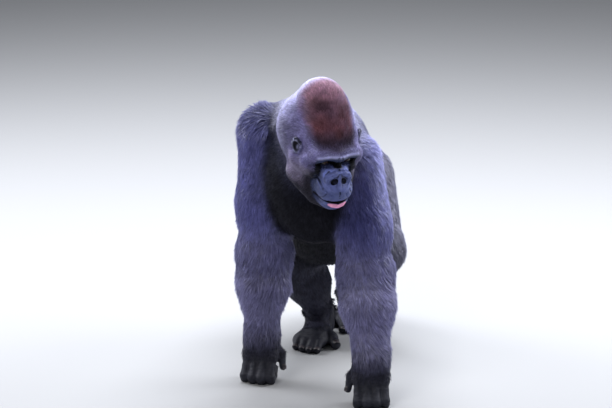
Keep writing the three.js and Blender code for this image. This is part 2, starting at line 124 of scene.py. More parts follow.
# How much two distances sway each other: nothing once they differ by the softness.
def softening(d, e, softness):
    return np.maximum(softness - np.abs(d - e), 0) ** 2 / (4 * softness)


# The sum of masses, with each crease filled over the given softness.
def blend(softness, *masses):
    def mass(p):
        d = masses[0](p)
        for other in masses[1:]:
            e = other(p)
            d = np.minimum(d, e) - softening(d, e, softness)
        return d
    return mass


# A mass with hollows pressed into it.
def carve(softness, whole, *hollows):
    def mass(p):
        d = whole(p)
        for hollow in hollows:
            e = -hollow(p)
            d = np.maximum(d, e) + softening(d, e, softness)
        return d
    return mass


# A string of rods through points, all of one softness.
def string(softness, points, radii):
    radii = np.broadcast_to(radii, len(points))
    pieces = [rod(points[i], points[i + 1], radii[i], radii[i + 1]) for i in range(len(points) - 1)]
    return blend(softness, *pieces)


farOff = 60  # mm beyond a placed mass's reach, past which its shape no longer counts


# A mass in a frame of its own. Far from the centre only the distance to it counts.
def placed(turn, centre, reach, local):
    def mass(p):
        q = (p - centre) @ turn
        d = np.sqrt((q ** 2).sum(1)) - reach
        close = d <= farOff
        if close.any():
            d[close] = local(q[close])
        return d
    return mass


# Bones, and the masses of trunk and limbs.

sides = {"left": 1, "right": -1}
joint = {
    "left": dict(shoulder=(118, -292, 696), elbow=(148, -314, 366), wrist=(176, -424, 138),
                 hip=(84, 290, 490), knee=(148, 160, 290), ankle=(44, 388, 92)),
    "right": dict(shoulder=(-150, -234, 752), elbow=(-160, -196, 378), wrist=(-164, -236, 138),
                  hip=(-84, 290, 490), knee=(-106, 78, 314), ankle=(-34, 176, 88)),
}
shoulderGirth = {"left": 66, "right": 80}
heading = {"left": 6, "right": -8}
headTurn = turnOf(pitch=21, roll=-2, yaw=28)
headCentre = np.array([40.0, -455, 767])


def toHead(p):
    return (p - headCentre) @ headTurn


def fromHead(x, y, z):
    return headTurn @ np.array([x, y, z]) + headCentre


trunk = blend(
    90,
    egg((0, -120, 604), (163, 250, 190), pitch=-17),  # rib cage
    egg((0, 84, 468), (172, 236, 196), pitch=-7),  # belly and loins
    egg((0, 280, 484), (118, 130, 122), pitch=-25),  # rump
    egg((-14, -214, 724), (136, 128, 108)),  # shoulder blades and withers
    egg((0, -286, 585), (104, 88, 140), pitch=8),  # breast
)
neck = blend(
    60,
    rod((-16, -232, 748), fromHead(0, 66, 26), 114, 102),  # nape
    rod((-4, -290, 650), fromHead(0, 34, -44), 92, 64),  # throat
)


def upperArmOf(side):
    shoulder, elbow = joint[side]["shoulder"], joint[side]["elbow"]
    behind = np.array([0, 20, 0])
    return blend(
        40,
        rod(shoulder, shoulder, shoulderGirth[side]),
        rod(mix(shoulder, elbow, 0.2), mix(shoulder, elbow, 0.6), 77),
        rod(mix(shoulder, elbow, 0.55), elbow, 75, 70),
        rod(mix(shoulder, elbow, 0.35) + behind, elbow, 58),  # triceps
    )


def forearmOf(side):
    elbow, wrist = joint[side]["elbow"], joint[side]["wrist"]
    return blend(
        40,
        rod(np.add(elbow, (0, 12, 0)), mix(elbow, wrist, 0.3), 60, 58),  # point of the elbow
        rod(elbow, mix(elbow, wrist, 0.4), 68, 68),
        rod(mix(elbow, wrist, 0.38), wrist, 68, 46),
    )


def thighOf(side):
    hip, knee = joint[side]["hip"], joint[side]["knee"]
    return blend(
        45,
        rod(hip, knee, 94, 71),
        rod(mix(hip, knee, 0.1) + (0, 36, -36), mix(hip, knee, 0.8) + (0, 30, -18), 82, 60),  # ham
    )


def shankOf(side):
    knee, ankle = joint[side]["knee"], joint[side]["ankle"]
    return blend(45, rod(knee, mix(knee, ankle, 0.5), 67, 64), rod(mix(knee, ankle, 0.4), ankle, 64, 44))


# Hands and feet: origin on the floor under the wrist or ankle, +X towards the little one.

fingerSpacing, fingerRadius, fingerReach = 25, 12.8, [0.9, 1, 0.97, 0.84]
toeSpacing, toeRadius, toeReach = 22.5, 12, [158, 162, 153, 139]


def fingerBones(i):
    x = (i - 1.5) * fingerSpacing
    fan, bow, reach = (i - 1.5) * 1.5, -6 * (1 - abs(i - 1.2) / 2), fingerReach[i]
    return dict(
        palm=(x * 0.62, 2, 112), knuckle=(x * 0.97, -18 + bow, 74),
        bend=(x + fan, -60 * reach + bow, fingerRadius + 9),
        down=(x + fan, -52 * reach + bow, fingerRadius - 1.8),
        curl=(x, -12 + bow, fingerRadius + 1), tip=(x, 8 + bow, fingerRadius + 20))


def fingerOf(i):
    b, r = fingerBones(i), fingerRadius
    half = mix(b["knuckle"], b["bend"], 0.5)
    return blend(
        5,
        rod(b["knuckle"], half, r + 2.2, r - 0.6), rod(half, b["bend"], r - 0.6, r + 1),
        rod(b["bend"], b["down"], r + 0.6, r), rod(b["down"], b["curl"], r, r - 0.8),
        rod(b["curl"], b["tip"], r - 0.8, r - 2.6))


def handOf(wristHeight):
    bones = [fingerBones(i) for i in range(4)]
    return blend(
        7,
        blend(
            16,
            rod((0, 0, wristHeight + 6), (0, 0, wristHeight - 30), 36, 37),
            *[rod(b["palm"], b["knuckle"], 24, 17) for b in bones],
            *[rod(np.add(b["palm"], (0, -20, -4)), np.add(b["knuckle"], (0, -4, 4)), 5, 9) for b in bones],
            rod((-20, 10, wristHeight - 30), (-34, 4, 92), 22, 17),  # ball of the thumb
            rod((24, 8, wristHeight - 32), (36, 2, 84), 19, 15),  # outer edge
        ),
        *[fingerOf(i) for i in range(4)],
        string(6, [(-36, 6, 100), (-59, 2, 80), (-62, -4, 64), (-67, -12, 44)], [15, 12.4, 10.2, 10.2]),
    )


def toeBones(i):
    x = (i - 1.28) * toeSpacing
    return np.array([x, -100, 18.0]), np.array([x * 1.06, -toeReach[i], toeRadius - 2.0])


def toeOf(i):
    root, tip = toeBones(i)
    middle = mix(root, tip, 0.5) + (0, 0, 8)
    return blend(4, rod(root, middle, 12.6, toeRadius - 0.6),
                 rod(middle, tip, toeRadius - 1.4, toeRadius - 0.6))


def footOf(ankleHeight):
    return blend(
        9,
        blend(
            24,
            rod((0, 0, ankleHeight + 6), (0, 4, ankleHeight - 26), 35, 36),
            egg((0, 38, 30), (34, 42, 36)),  # heel
            rod((0, 10, 42), (2, -72, 30), 38, 30),  # arch
            rod((20, 20, 22), (34, -96, 19), 24, 21),  # outer edge
            rod((-10, -40, 28), (-16, -96, 22), 26, 22),  # inner edge
            egg((6, -100, 18), (50, 32, 22)),  # ball
        ),
        *[toeOf(i) for i in range(4)],
        string(8, [(-20, -26, 28), (-54, -64, 21), (-64, -84, 17), (-76, -104, 14)], [24, 18.4, 15.6, 15]),
    )


def stanceOf(side):  # which way a hand or foot points, mirrored on the right
    return turnOf(yaw=heading[side]) @ np.diag([sides[side], 1, 1])


def standing(side, bone, local):
    x, y, height = joint[side][bone]
    return placed(stanceOf(side), np.array([x, y, 0]), 200, local(height))


# The head, in its own frame: origin between the ear holes, -Y out of the nose.

eye = dict(across=32, out=84, up=17, radius=13.5, corneaRise=0.9, corneaDegrees=27, gaze=(0.04, -1, -0.10))
ear = dict(across=91, back=-21, up=35)
faceReach, headReach, headFade = 190, 206, 238  # mm from the head's centre


def eachSide(make):
    return [make(1), make(-1)]


skull = blend(
    34,
    egg((0, 20, 58), (84, 108, 90)),  # brain case
    egg((0, 46, 98), (74, 88, 92), pitch=10),  # crest
    egg((0, -40, 50), (72, 48, 48)),  # forehead
    egg((0, 84, 24), (102, 70, 94)),  # nape
    *eachSide(lambda s: egg((s * 52, 4, -10), (38, 74, 76))),  # cheek muscles
)
faceMass = blend(
    16,
    *eachSide(lambda s: rod((0, -103, 41), (s * 50, -90, 36), 16, 16)),  # brow ridge
    *eachSide(lambda s: rod((s * 50, -88, 36), (s * 74, -60, 8), 16, 18)),  # outer end of the brow
    *eachSide(lambda s: rod((s * 50, -68, -14), (s * 78, -14, -14), 22, 26)),  # cheek bone
    egg((0, -58, -24), (60, 44, 62)),  # middle of the face
    rod((0, -90, 20), (0, -108, -10), 15, 17),  # bridge of the nose
    egg((0, -104, -30), (34, 24, 26)),  # under the nose
    egg((0, -92, -66), (54, 54, 38)),  # muzzle
    egg((0, -113, -78), (46, 30, 21)),  # upper lip
    egg((0, -100, -108), (40, 32, 18)),  # lower jaw
    egg((0, -86, -116), (43, 42, 27)),  # chin
    *eachSide(lambda s: rod((s * 34, -66, -104), (s * 62, 2, -72), 34, 40)),  # jaw
)

# The broad wings of the nose stand round the nostrils like the two halves of a heart.
noseWings = blend(
    4,
    *eachSide(lambda s: string(
        4, [(0, -122, -3), (s * 13, -125, -6), (s * 26, -122, -14), (s * 33, -116, -28),
            (s * 28, -118, -43), (s * 13, -129, -50)], [6, 7.5, 8.5, 9, 8, 6.5])),
    rod((0, -127, -12), (0, -136, -48), 5, 5.5),  # between the nostrils
)
nostrils = eachSide(lambda s: egg((s * 15, -131, -29), (10.5, 18, 7.2), pitch=-38, roll=s * 34))
lowerLip = string(8, [(-38, -108, -97), (-26, -122, -101), (-13, -131, -104), (0, -134, -105),
                      (13, -131, -104), (26, -122, -101), (38, -108, -97)], [5, 7.5, 9.2, 9.8, 9.2, 7.5, 5])
mouthLine = [(-54, -88, -86), (-44, -112, -90), (-24, -136, -93), (0, -143, -94),
             (24, -136, -93), (44, -112, -90), (54, -88, -86)]


def lidOf(s):  # the lids wrap the eyeball, and the slit between them is cut in
    x, y, z = s * eye["across"], -eye["out"], eye["up"]
    return blend(2.5, egg((x, y + 1.5, z), (17.5, 15.5, 14.5)), string(
        3, [(x - 17, y - 6, z - 8), (x, y - 11, z - 13), (x + 17, y - 5, z - 7)], 4.5))  # bag under the eye


def slitOf(s):
    x, y, z = s * eye["across"], -eye["out"], eye["up"]
    return egg((x, y - 14, z - 2), (11, 18, 3.1), roll=s * -5)


# Lines on the face as seen from in front, as points (x, z), with a width and a depth. A depth below
# 0 is a swelling.
creases = [
    ([(22, 4), (32, 0), (43, -14), (47, -34), (40, -55), (20, -67)], 6, 3.2),  # round the nose
    ([(0, -1), (14, 0), (28, -6), (37, -20), (36, -36), (26, -50), (10, -56)], 5, -1.8),  # rim of the nose
    ([(49, -38), (59, -60), (63, -84)], 5.5, 2.6),  # nose to mouth
    ([(40, -8), (52, -14), (66, -15)], 5, 2.0),  # under the eye
    ([(46, -22), (60, -32)], 4, 1.2),
    ([(14, 29), (34, 28), (54, 20)], 4, 1.2),  # over the eye
    ([(5, 42), (6, 14)], 4, 1.8),  # frown
    ([(0, 10), (12, 7)], 3, 1.2),  # across the bridge
    ([(0, 3), (11, 0)], 3, 1.2),
    ([(18, -66), (28, -86)], 4, 1.2),  # upper lip
    ([(34, -62), (46, -84)], 4, 1.2),
]


# The face with its creases: the surface sinks near each line by the line's depth.
def creased(whole):
    tracks = [(string(1, [(s * x, 0, z) for x, z in points], 0.0), width, depth)
              for points, width, depth in creases for s in (1, -1)]

    def mass(q):
        d, flat, front = whole(q), q * (1, 0, 1), smooth(-56, -74, q[:, 1])
        for track, width, depth in tracks:
            d = d + depth * front * smooth(width, 0, track(flat))
        return d
    return mass


def earTurn(s):
    return dict(pitch=-6, roll=s * 8, yaw=s * -28)


def earOf(s):
    turn = earTurn(s)
    x, y, z = s * ear["across"], ear["back"], ear["up"]
    spin = turnOf(**turn)
    rim = [spin @ np.array([s * 5.5, 18.5 * math.sin(a), 24.5 * math.cos(a)]) + (x, y, z)
           for a in np.radians([-125, -95, -60, -25, 10, 45, 80, 115, 145])]
    fold = [spin @ np.array([s * 3.5, 10 * math.sin(a) + 2, 14 * math.cos(a)]) + (x, y, z)
            for a in np.radians([-20, 20, 60, 100, 140])]
    cup = carve(3, egg((x, y, z), (11, 20, 26), **turn), egg((x + s * 12, y - 8, z), (12, 15, 20), **turn))
    shell = blend(3, cup, string(2, rim, 3.4), string(2, fold, 2.2),
                  rod((x + s * 2, y - 19, z - 8), (x + s * 2, y - 16, z - 2), 4, 4.5))  # the flap in front
    return carve(3, shell, egg((x + s * 6, y - 7, z - 5), (14, 7.5, 9), **turn))


headMass = blend(26, skull, faceMass)
headMass = carve(9, headMass, *eachSide(lambda s: egg((s * eye["across"], -100, 14), (23, 20, 14))))
headMass = blend(3, headMass, *eachSide(lidOf))
headMass = carve(1.2, headMass, *eachSide(slitOf))
headMass = carve(2.5, creased(blend(4, headMass, noseWings)), *nostrils)
headMass = carve(3, headMass, string(3, mouthLine, [1.5, 2.4, 2.8, 3, 2.8, 2.4, 1.5]))
headMass = blend(4, headMass, lowerLip)
headMass = carve(1.5, headMass, rod((0, -146, -56), (0, -146, -76), 2.2, 2.8))  # groove of the upper lip
headMass = blend(4, headMass, *eachSide(earOf))

# Each part of the coat: its mass, the way its hair lies, the hair's length and the coat's depth.
parts = {"head": placed(headTurn, headCentre, 240, headMass), "neck": neck, "trunk": trunk}
for side in sides:
    parts |= {f"upperArm_{side}": upperArmOf(side), f"forearm_{side}": forearmOf(side),
              f"thigh_{side}": thighOf(side), f"shank_{side}": shankOf(side)}
ends = [standing(side, bone, local) for side in sides
        for bone, local in (("wrist", handOf), ("ankle", footOf))]
furred = blend(26, blend(46, blend(60, trunk, neck),
                         *[blend(40, parts[f"upperArm_{side}"], parts[f"forearm_{side}"]) for side in sides],
                         *[blend(45, parts[f"thigh_{side}"], parts[f"shank_{side}"]) for side in sides]),
               parts["head"])

hairLength = dict(head=17, neck=26, trunk=32, upperArm=40, forearm=38, thigh=36, shank=28)  # mm
depthPerLength = 0.27
endSoftness = 14  # mm, where wrist and ankle join hand and foot
shareReach = 11  # mm over which one part's say fades into the next's


def kindOf(name):
    return name.split("_")[0]


# How much each part has a say at a point: by how near the part's own surface is.
def shares(p):
    d = np.stack([mass(p) for mass in parts.values()])
    share = np.exp(-(d - d.min(0)) / shareReach)
    return share / share.sum(0)


# How bare the face is: 1 inside the outline of the face, falling to 0 over a few millimetres.
def bareFace(q):
    x, y, z = np.abs(q[:, 0]), q[:, 1], q[:, 2]
    halfWidth = np.interp(z, [-135, -118, -100, -70, -30, 0, 20, 36, 52],
                          [10, 42, 58, 60, 61, 62, 67, 66, 60])
    inside = np.minimum(halfWidth - x, (50 - 0.0015 * x ** 2) - z)
    return smooth(-9, 7, inside) * smooth(-34, -50, y)


# How far outside an egg laid over the nearer ear, some way out from it and ahead of it.
def nearerEar(q, outward, ahead, half):
    x, y, z = ear["across"] + outward, ear["back"] - ahead, ear["up"]
    return np.minimum(*eachSide(lambda s: egg((s * x, y, z), half, **earTurn(s))(q)))


def bareEar(q):
    return smooth(3, -2, nearerEar(q, 3, 0, (15, 22, 27)))


def nearHead(q):
    return smooth(headFade, headReach, np.linalg.norm(q, axis=1))


# How much coat there is: none on the face, the ears, the palms, soles, fingers and toes.
def coatCover(p):
    q = toHead(p)
    cover = 1 - nearHead(q) * np.maximum(bareFace(q), bareEar(q))
    x, y, z = p.T
    hand, foot = np.ones(len(p)), np.ones(len(p))
    for side, s in sides.items():
        wrist, ankle = joint[side]["wrist"], joint[side]["ankle"]
        mine = s * x > 0
        outer = smooth(16, -14, y - wrist[1])  # the back of the hand
        hand = np.where(mine, smooth(46, 200, z) * outer + smooth(100, 200, z) * (1 - outer), hand)
        foot = np.where(mine, smooth(26, 124, z) * smooth(-108, -70, y - ankle[1]), foot)
    return cover * np.where(y < -60, hand, np.where(z < 130, foot, 1))


# The hair's length at each point, in millimetres.
def lengthAt(p, share):
    longest = np.array([hairLength[kindOf(name)] for name in parts])
    length = longest @ share
    q = toHead(p)
    atHead = share[0]
    cheek = smooth(20, -40, q[:, 2]) * smooth(60, 10, q[:, 1])
    aboveBrow = smooth(92, 52, q[:, 2]) * smooth(-20, -70, q[:, 1])
    length *= 1 - atHead * np.maximum(0.45 * cheek, 0.62 * aboveBrow)
    chest = smooth(-200, -330, p[:, 1]) * smooth(110, 60, np.abs(p[:, 0])) * share[2]
    length *= 1 - 0.4 * chest
    return length


def coatDepth(p):
    return depthPerLength * lengthAt(p, shares(p)) * coatCover(p)


# How far a point is outside the skin: the furred masses less the coat's depth, with bare hands and feet.
def skinField(p, depth):
    d = furred(p) + depth
    for end in ends:
        e = end(p)
        d = np.minimum(d, e) - softening(d, e, endSoftness)
    return d


# Moves points along the slope of the skin's field until it is zero there.
def slideToSkin(p, passes, most):
    start, step = p.copy(), 0.4
    for _ in range(passes):
        depth = coatDepth(p)
        d = skinField(p, depth)
        slope = np.stack([(skinField(p + step * np.eye(3)[axis], depth) - d) / step for axis in range(3)], 1)
        p = p - slope * (np.clip(d, -8, 8) / np.maximum((slope ** 2).sum(1), 0.25))[:, None]
    gone = p - start
    far = np.linalg.norm(gone, axis=1, keepdims=True)
    p = start + gone * np.minimum(1, most / np.maximum(far, 1e-6))
    p[:, 2] = np.maximum(p[:, 2], 0.3)
    return p


# Markings, shared by skin and coat.

def paint(red, green, blue):  # a colour as a screen shows it, made linear
    c = np.array([red, green, blue]) / 255
    return np.where(c <= 0.04045, c / 12.92, ((c + 0.055) / 1.055) ** 2.4)


# The pale, nape and flank colours are painted sheen on the hair; the chest and belly colours are painted
# shade under the body.
coatColours = dict(
    black=paint(50, 50, 64), limb=paint(86, 87, 146), foreLimb=paint(110, 108, 148), leg=paint(54, 54, 70),
    paleSheen=paint(160, 162, 214), nape=paint(190, 190, 232), temple=paint(124, 118, 172),
    chest=paint(8, 9, 12), under=paint(26, 29, 48),
    cheek=paint(132, 122, 152), cheekDark=paint(46, 44, 56), belly=paint(26, 26, 34),
    flankSheen=paint(112, 111, 134), back=paint(50, 49, 58), backOfHead=paint(84, 78, 92),
    crown=np.array([paint(54, 34, 40), paint(118, 64, 66), paint(112, 70, 80), paint(152, 106, 122)]),
)
crownHeights = [70, 100, 132, 172]
cameraSide = np.array([0.099, -0.940, 0.326])  # towards the camera: the painted sheen and other marks stay on hair that faces this way
# The brow and rim colours are painted highlights; the socket and mouth colours are painted shade in the eye
# sockets, nostrils, mouth line and ear hole.
skinColours = dict(
    face=paint(42, 50, 84), brow=paint(182, 182, 236), nose=paint(94, 104, 164), muzzle=paint(78, 88, 142),
    socket=paint(10, 11, 18), lip=paint(252, 168, 208), mouth=paint(10, 8, 12), ear=paint(34, 36, 54),
    rim=paint(150, 152, 196), upperCheek=paint(24, 25, 32), sole=paint(42, 43, 52),
)


# A smooth field of numbers between 0 and 1: hashed corners of a grid, mixed along all three axes.
def softNoise(p, size, seed):
    q = p / size
    base = np.floor(q).astype(np.int64)
    f = q - base
    f = f * f * (3 - 2 * f)
    total = 0
    for corner in range(8):
        c = np.array([corner & 1, (corner >> 1) & 1, corner >> 2])
        h = (base + c) @ np.array([374761393, 668265263, 1440662683]) + seed * 1274126177
        h = (h ^ (h >> 13)) * 1103515245
        value = ((h ^ (h >> 16)) & 0xFFFF) / 65535
        total = total + value * np.prod(np.where(c, f, 1 - f), axis=1)
    return total


def blob(q, centre, half):  # 1 at the centre of an egg, 0 at its rim and beyond
    return smooth(1, 0.25, np.linalg.norm((q - np.array(centre)) / np.array(half), axis=1))


def lay(colour, over, amount):
    return colour * (1 - amount[:, None]) + np.asarray(over) * amount[:, None]


# The coat's colour at points p with outward directions n.
def coatMarkings(p, n, share):
    c = coatColours
    names = list(parts)
    up, q = n[:, 2], toHead(p)
    colour = np.zeros_like(p) + c["black"]
    part = {kind: sum(share[i] for i, name in enumerate(names) if kindOf(name) == kind)
            for kind in ("head", "neck", "trunk", "upperArm", "forearm", "thigh", "shank")}
    colour = lay(colour, c["limb"], part["upperArm"])
    colour = lay(colour, c["foreLimb"],
                 np.maximum(part["forearm"], part["upperArm"] * smooth(540, 370, p[:, 2])))
    colour = lay(colour, c["leg"], part["thigh"] + part["shank"])
    colour = lay(colour, c["leg"] * 0.8, part["forearm"] * smooth(230, 110, p[:, 2]))
    # painted shade: the upward facing top of the right upper arm is darkened to half, against the light that
    # falls there
    colour = lay(colour, colour * 0.5, share[names.index("upperArm_right")] * smooth(0.3, 0.8, up))
    front = smooth(-120, -240, p[:, 1])
    top = smooth(0.1, 0.75, up)
    # painted shade: near black on the downward facing chest between the arms and under the belly
    colour = lay(colour, c["chest"],
                 part["trunk"] * smooth(0.5, -0.1, up) * smooth(140, 90, np.abs(p[:, 0])) * front)
    colour = lay(colour, c["belly"], part["trunk"] * smooth(0.1, -0.4, up))
    # painted sheen: pale lavender on the upward facing top of the back and shoulders
    colour = lay(colour, c["paleSheen"], 0.75 * part["trunk"] * top * smooth(580, 700, p[:, 2])
                 * smooth(-85, -15, p[:, 0]) * smooth(140, 70, p[:, 0]) * smooth(-50, -170, p[:, 1]))
    # painted sheen: the left flank is painted pale grey where it faces the left side
    flankSheen = smooth(0.2, 0.7, n[:, 0]) * smooth(-240, -120, p[:, 1]) * smooth(500, 330, p[:, 1])
    colour = lay(colour, c["flankSheen"],
                 0.9 * flankSheen * smooth(190, 330, p[:, 2]) * (part["trunk"] + part["thigh"]))
    # painted sheen: pale on the left upper arm where it faces the left side
    colour = lay(colour, c["paleSheen"], 0.85 * share[names.index("upperArm_left")] * smooth(480, 640, p[:, 2])
                 * smooth(0.35, 0.85, n[:, 0]))
    colour = lay(colour, c["under"], part["neck"])
    # painted sheen: pale nape on the upward facing top of the neck and the back of the head
    colour = lay(colour, c["nape"], part["neck"] * smooth(0.1, 0.5, up) * smooth(-125, -60, p[:, 0]))
    head, x, y, z = part["head"], np.abs(q[:, 0]), q[:, 1], q[:, 2]
    colour = lay(colour, c["temple"], head)
    colour = lay(colour, c["nape"], head * smooth(20, 90, y) * smooth(-60, 0, z))
    wave = softNoise(p, 24, 3)
    lowEdge = np.interp(y, [-110, -60, 0, 60], [50, 58, 100, 122])
    cap = (smooth(74, 44, np.abs(q[:, 0] + 4) + 12 * (wave - 0.5)) * smooth(84, 30, y)
           * smooth(-8, 16, z - lowEdge))
    red = np.stack([np.interp(z, crownHeights, channel) for channel in c["crown"].T], 1)
    colour = lay(colour, red, head * cap * (0.8 + 0.2 * wave))
    colour = lay(colour, colour * 0.25, head * 0.7 * blob(q, (-30, -24, 148), (34, 34, 22)))
    cheek = head * smooth(14, -24, z) * smooth(50, 10, y)
    colour = lay(colour, mix(c["cheekDark"], c["cheek"], smooth(62, 86, x)[:, None]), cheek)
    colour = lay(colour, c["cheekDark"], head * smooth(-52, -92, z) * smooth(70, 20, y))
    # painted shade: near black on the downward facing underside of the neck
    colour = lay(colour, c["chest"], part["neck"] * smooth(-0.2, -0.5, up) * smooth(-230, -300, p[:, 1]))
    # where the hair faces away from the camera, plain dark colours replace the painted sheen and shade
    hidden = smooth(0.08, -0.38, n @ cameraSide)
    rest = lay(np.zeros_like(p) + c["back"], c["backOfHead"], head)
    rest = lay(rest, colour, head * cap * 0.5)
    colour = lay(colour, rest, hidden * (1 - 0.5 * cheek))
    return colour * (0.82 + 0.36 * softNoise(p, 17, 5))[:, None]


# How hollow and how ridged the head is: a step out of a hollow gains less than its length on the
# surface, and a step into a ridge loses less.
def reliefOf(q, out):
    return smooth(0.15, 1.6, 4 - headMass(q + 4 * out)), smooth(0.3, 1.8, 4 + headMass(q - 4 * out))


# The bare skin's colour: dark slate and pink inside the lower lip, with painted highlights on the brow, the
# face's ridges and the ear's rim, and painted shade in the sockets, hollows, nostrils, mouth line and ear
# hole.
def skinMarkings(p, n, share):
    c, q = skinColours, toHead(p)
    x, y, z = np.abs(q[:, 0]), q[:, 1], q[:, 2]
    colour = coatMarkings(p, n, share) * 0.45
    bareEnds = (1 - coatCover(p)) * smooth(300, 200, p[:, 2])
    colour = lay(colour, c["sole"], bareEnds)
    near = nearHead(q)
    hollow, ridgeHighlight = np.zeros(len(p)), np.zeros(len(p))
    close = near > 0
    hollow[close], ridgeHighlight[close] = reliefOf(q[close], n[close] @ headTurn)
    isEar = near * bareEar(q)
    colour = lay(colour, c["ear"], isEar)
    # painted highlight: pale on the ear's raised rim
    colour = lay(colour, c["rim"], isEar * 0.9 * ridgeHighlight)
    # painted shade: near black in the ear hole
    colour = lay(colour, c["mouth"], near * smooth(2, -1, nearerEar(q, 10, 7, (10, 13, 18))))
    face = near * bareFace(q)
    colour = lay(colour, c["face"], face)
    colour = lay(colour, c["upperCheek"], face * smooth(30, 50, x) * smooth(-44, -20, z) * smooth(30, 10, z))
    # painted highlight: the upward facing top of the brow and its outer ends are painted pale
    brow = smooth(25, 31, z) * smooth(60, 52, z) * smooth(-50, -70, y) * smooth(86, 72, x)
    browEnd = smooth(54, 64, x) * smooth(2, 16, z) * smooth(-34, -50, y)
    colour = lay(colour, c["brow"], near * np.maximum(brow, 0.8 * browEnd) * smooth(-0.5, 0.1, n[:, 2]))
    colour = lay(colour, c["muzzle"], face * smooth(-34, -50, z) * smooth(60, 40, x) * smooth(-80, -100, y))
    colour = lay(colour, c["nose"], face * smooth(46, 36, x) * smooth(-60, -50, z) * smooth(20, 6, z))
    eyes = np.hypot(x / 62, (z - 17) / 12)
    # painted highlight: upward facing ridges of the face are brightened
    colour = lay(colour, colour * 2.2, face * 0.7 * ridgeHighlight * smooth(-0.3, 0.4, n[:, 2]))
    # painted shade: near black in the eye sockets under the brow
    colour = lay(colour, c["socket"], face * smooth(1.1, 0.8, eyes) * smooth(-72, -80, y))
    # painted shade: the creases and hollows of the face are darkened
    colour = lay(colour, colour * 0.22, face * hollow)
    # painted shade: near black in the nostrils and along the mouth line
    holes = np.minimum(*[hole(q) for hole in nostrils])
    colour = lay(colour, c["mouth"], face * smooth(1.8, 0.2, holes))
    slit = string(3, mouthLine, [2.6, 3.4, 3.8, 4, 3.8, 3.4, 2.6])(q)
    colour = lay(colour, c["mouth"], face * smooth(1.5, -1.0, slit))
    lip = egg((0, -137, -103.5), (29, 24, 8.6))(q)
    colour = lay(colour, c["lip"], near * smooth(1.5, -2, lip) * smooth(0, 2, slit))
    return colour * (0.86 + 0.28 * softNoise(p, 9, 8))[:, None]


# Materials.

def socketsOf(group, inputs, outputs):
    for name, kind, start in inputs:
        socket = group.interface.new_socket(name, in_out="INPUT", socket_type=kind)
        if start is not None:
            socket.default_value = start
    for name, kind in outputs:
        group.interface.new_socket(name, in_out="OUTPUT", socket_type=kind)


def wire(tree, *pairs):
    for start, end in pairs:
        tree.links.new(start, end)


def setSockets(node, values):
    for socket, value in values.items():
        node.inputs[socket].default_value = value


# Uneven colour: two sizes of noise make the given colour darker and lighter.
def makeMottle():
    group = bpy.data.node_groups.new("mottle", "ShaderNodeTree")
    socketsOf(group, [("Color", "NodeSocketColor", (0.1, 0.1, 0.1, 1)), ("Vector", "NodeSocketVector", None),
                      ("Scale", "NodeSocketFloat", 60.0), ("Amount", "NodeSocketFloat", 0.3)],
              [("Color", "NodeSocketColor"), ("Mask", "NodeSocketFloat")])
    nodes = group.nodes
    start, end = nodes.new("NodeGroupInput"), nodes.new("NodeGroupOutput")
    noise = nodes.new("ShaderNodeTexNoise")
    setSockets(noise, {"Detail": 5, "Roughness": 0.62})
    low, high = nodes.new("ShaderNodeMath"), nodes.new("ShaderNodeMath")
    low.operation, high.operation = "SUBTRACT", "ADD"
    low.inputs[0].default_value = high.inputs[0].default_value = 1
    spread = nodes.new("ShaderNodeMapRange")
    setSockets(spread, {"From Min": 0.3, "From Max": 0.7})
    scale = nodes.new("ShaderNodeVectorMath")
    scale.operation = "SCALE"
    wire(group, (start.outputs["Vector"], noise.inputs["Vector"]),
         (start.outputs["Scale"], noise.inputs["Scale"]),
         (noise.outputs["Fac"], spread.inputs["Value"]),
         (start.outputs["Amount"], low.inputs[1]), (start.outputs["Amount"], high.inputs[1]),
         (low.outputs[0], spread.inputs["To Min"]), (high.outputs[0], spread.inputs["To Max"]),
         (start.outputs["Color"], scale.inputs[0]), (spread.outputs[0], scale.inputs["Scale"]),
         (scale.outputs[0], end.inputs["Color"]), (noise.outputs["Fac"], end.inputs["Mask"]))
    return group


mottle = makeMottle()


def newMaterial(name):
    made = bpy.data.materials.new(name)
    made.use_nodes = True
    return made, made.node_tree, made.node_tree.nodes["Principled BSDF"]


# The tone painted on the points, made uneven, runs into the shader's colour.
def mottled(tree, shader, look):
    nodes = tree.nodes
    colour, where = nodes.new("ShaderNodeAttribute"), nodes.new("ShaderNodeTexCoord")
    group = nodes.new("ShaderNodeGroup")
    colour.attribute_name = "tone"
    group.node_tree = mottle
    setSockets(group, {"Scale": look["mottleScale"], "Amount": look["mottleAmount"]})
    wire(tree, (colour.outputs["Color"], group.inputs["Color"]),
         (where.outputs["Object"], group.inputs["Vector"]),
         (group.outputs["Color"], shader.inputs["Base Color"]))
    return group, where


# The darker the tone, the duller the surface: a socket runs over its span as the tone's brightness does.
def dullHollows(tree, colour, socket, span, brightAt):
    bright, gloss = tree.nodes.new("ShaderNodeRGBToBW"), tree.nodes.new("ShaderNodeMapRange")
    setSockets(gloss, {"From Max": brightAt, "To Min": span[0], "To Max": span[1]})
    wire(tree, (colour, bright.inputs[0]), (bright.outputs[0], gloss.inputs["Value"]),
         (gloss.outputs[0], socket))


coatLook = dict(mottleScale=55.0, mottleAmount=0.22, roughness=0.46, specular=(0.03, 0.42), sheen=(0.0, 0.42),
                brightAt=0.10, sheenRoughness=0.42, sheenTint=(0.62, 0.66, 1.0, 1))


def makeCoatMaterial():
    made, tree, shader = newMaterial("gorillaCoat")
    look = coatLook
    group, _ = mottled(tree, shader, look)
    for socket, span in (("Specular IOR Level", look["specular"]), ("Sheen Weight", look["sheen"])):
        dullHollows(tree, group.outputs["Color"], shader.inputs[socket], span, look["brightAt"])
    setSockets(shader, {"Roughness": look["roughness"], "Sheen Roughness": look["sheenRoughness"],
                        "Sheen Tint": look["sheenTint"]})
    return made


skinLook = dict(mottleScale=90.0, mottleAmount=0.16, poreScale=520.0, poreDepth=0.0005,
                foldScale=75.0, foldDepth=0.0026, foldStretch=(0.45, 1, 2.4),
                rough=(0.38, 0.6), specular=(0.04, 0.42), brightAt=0.07)


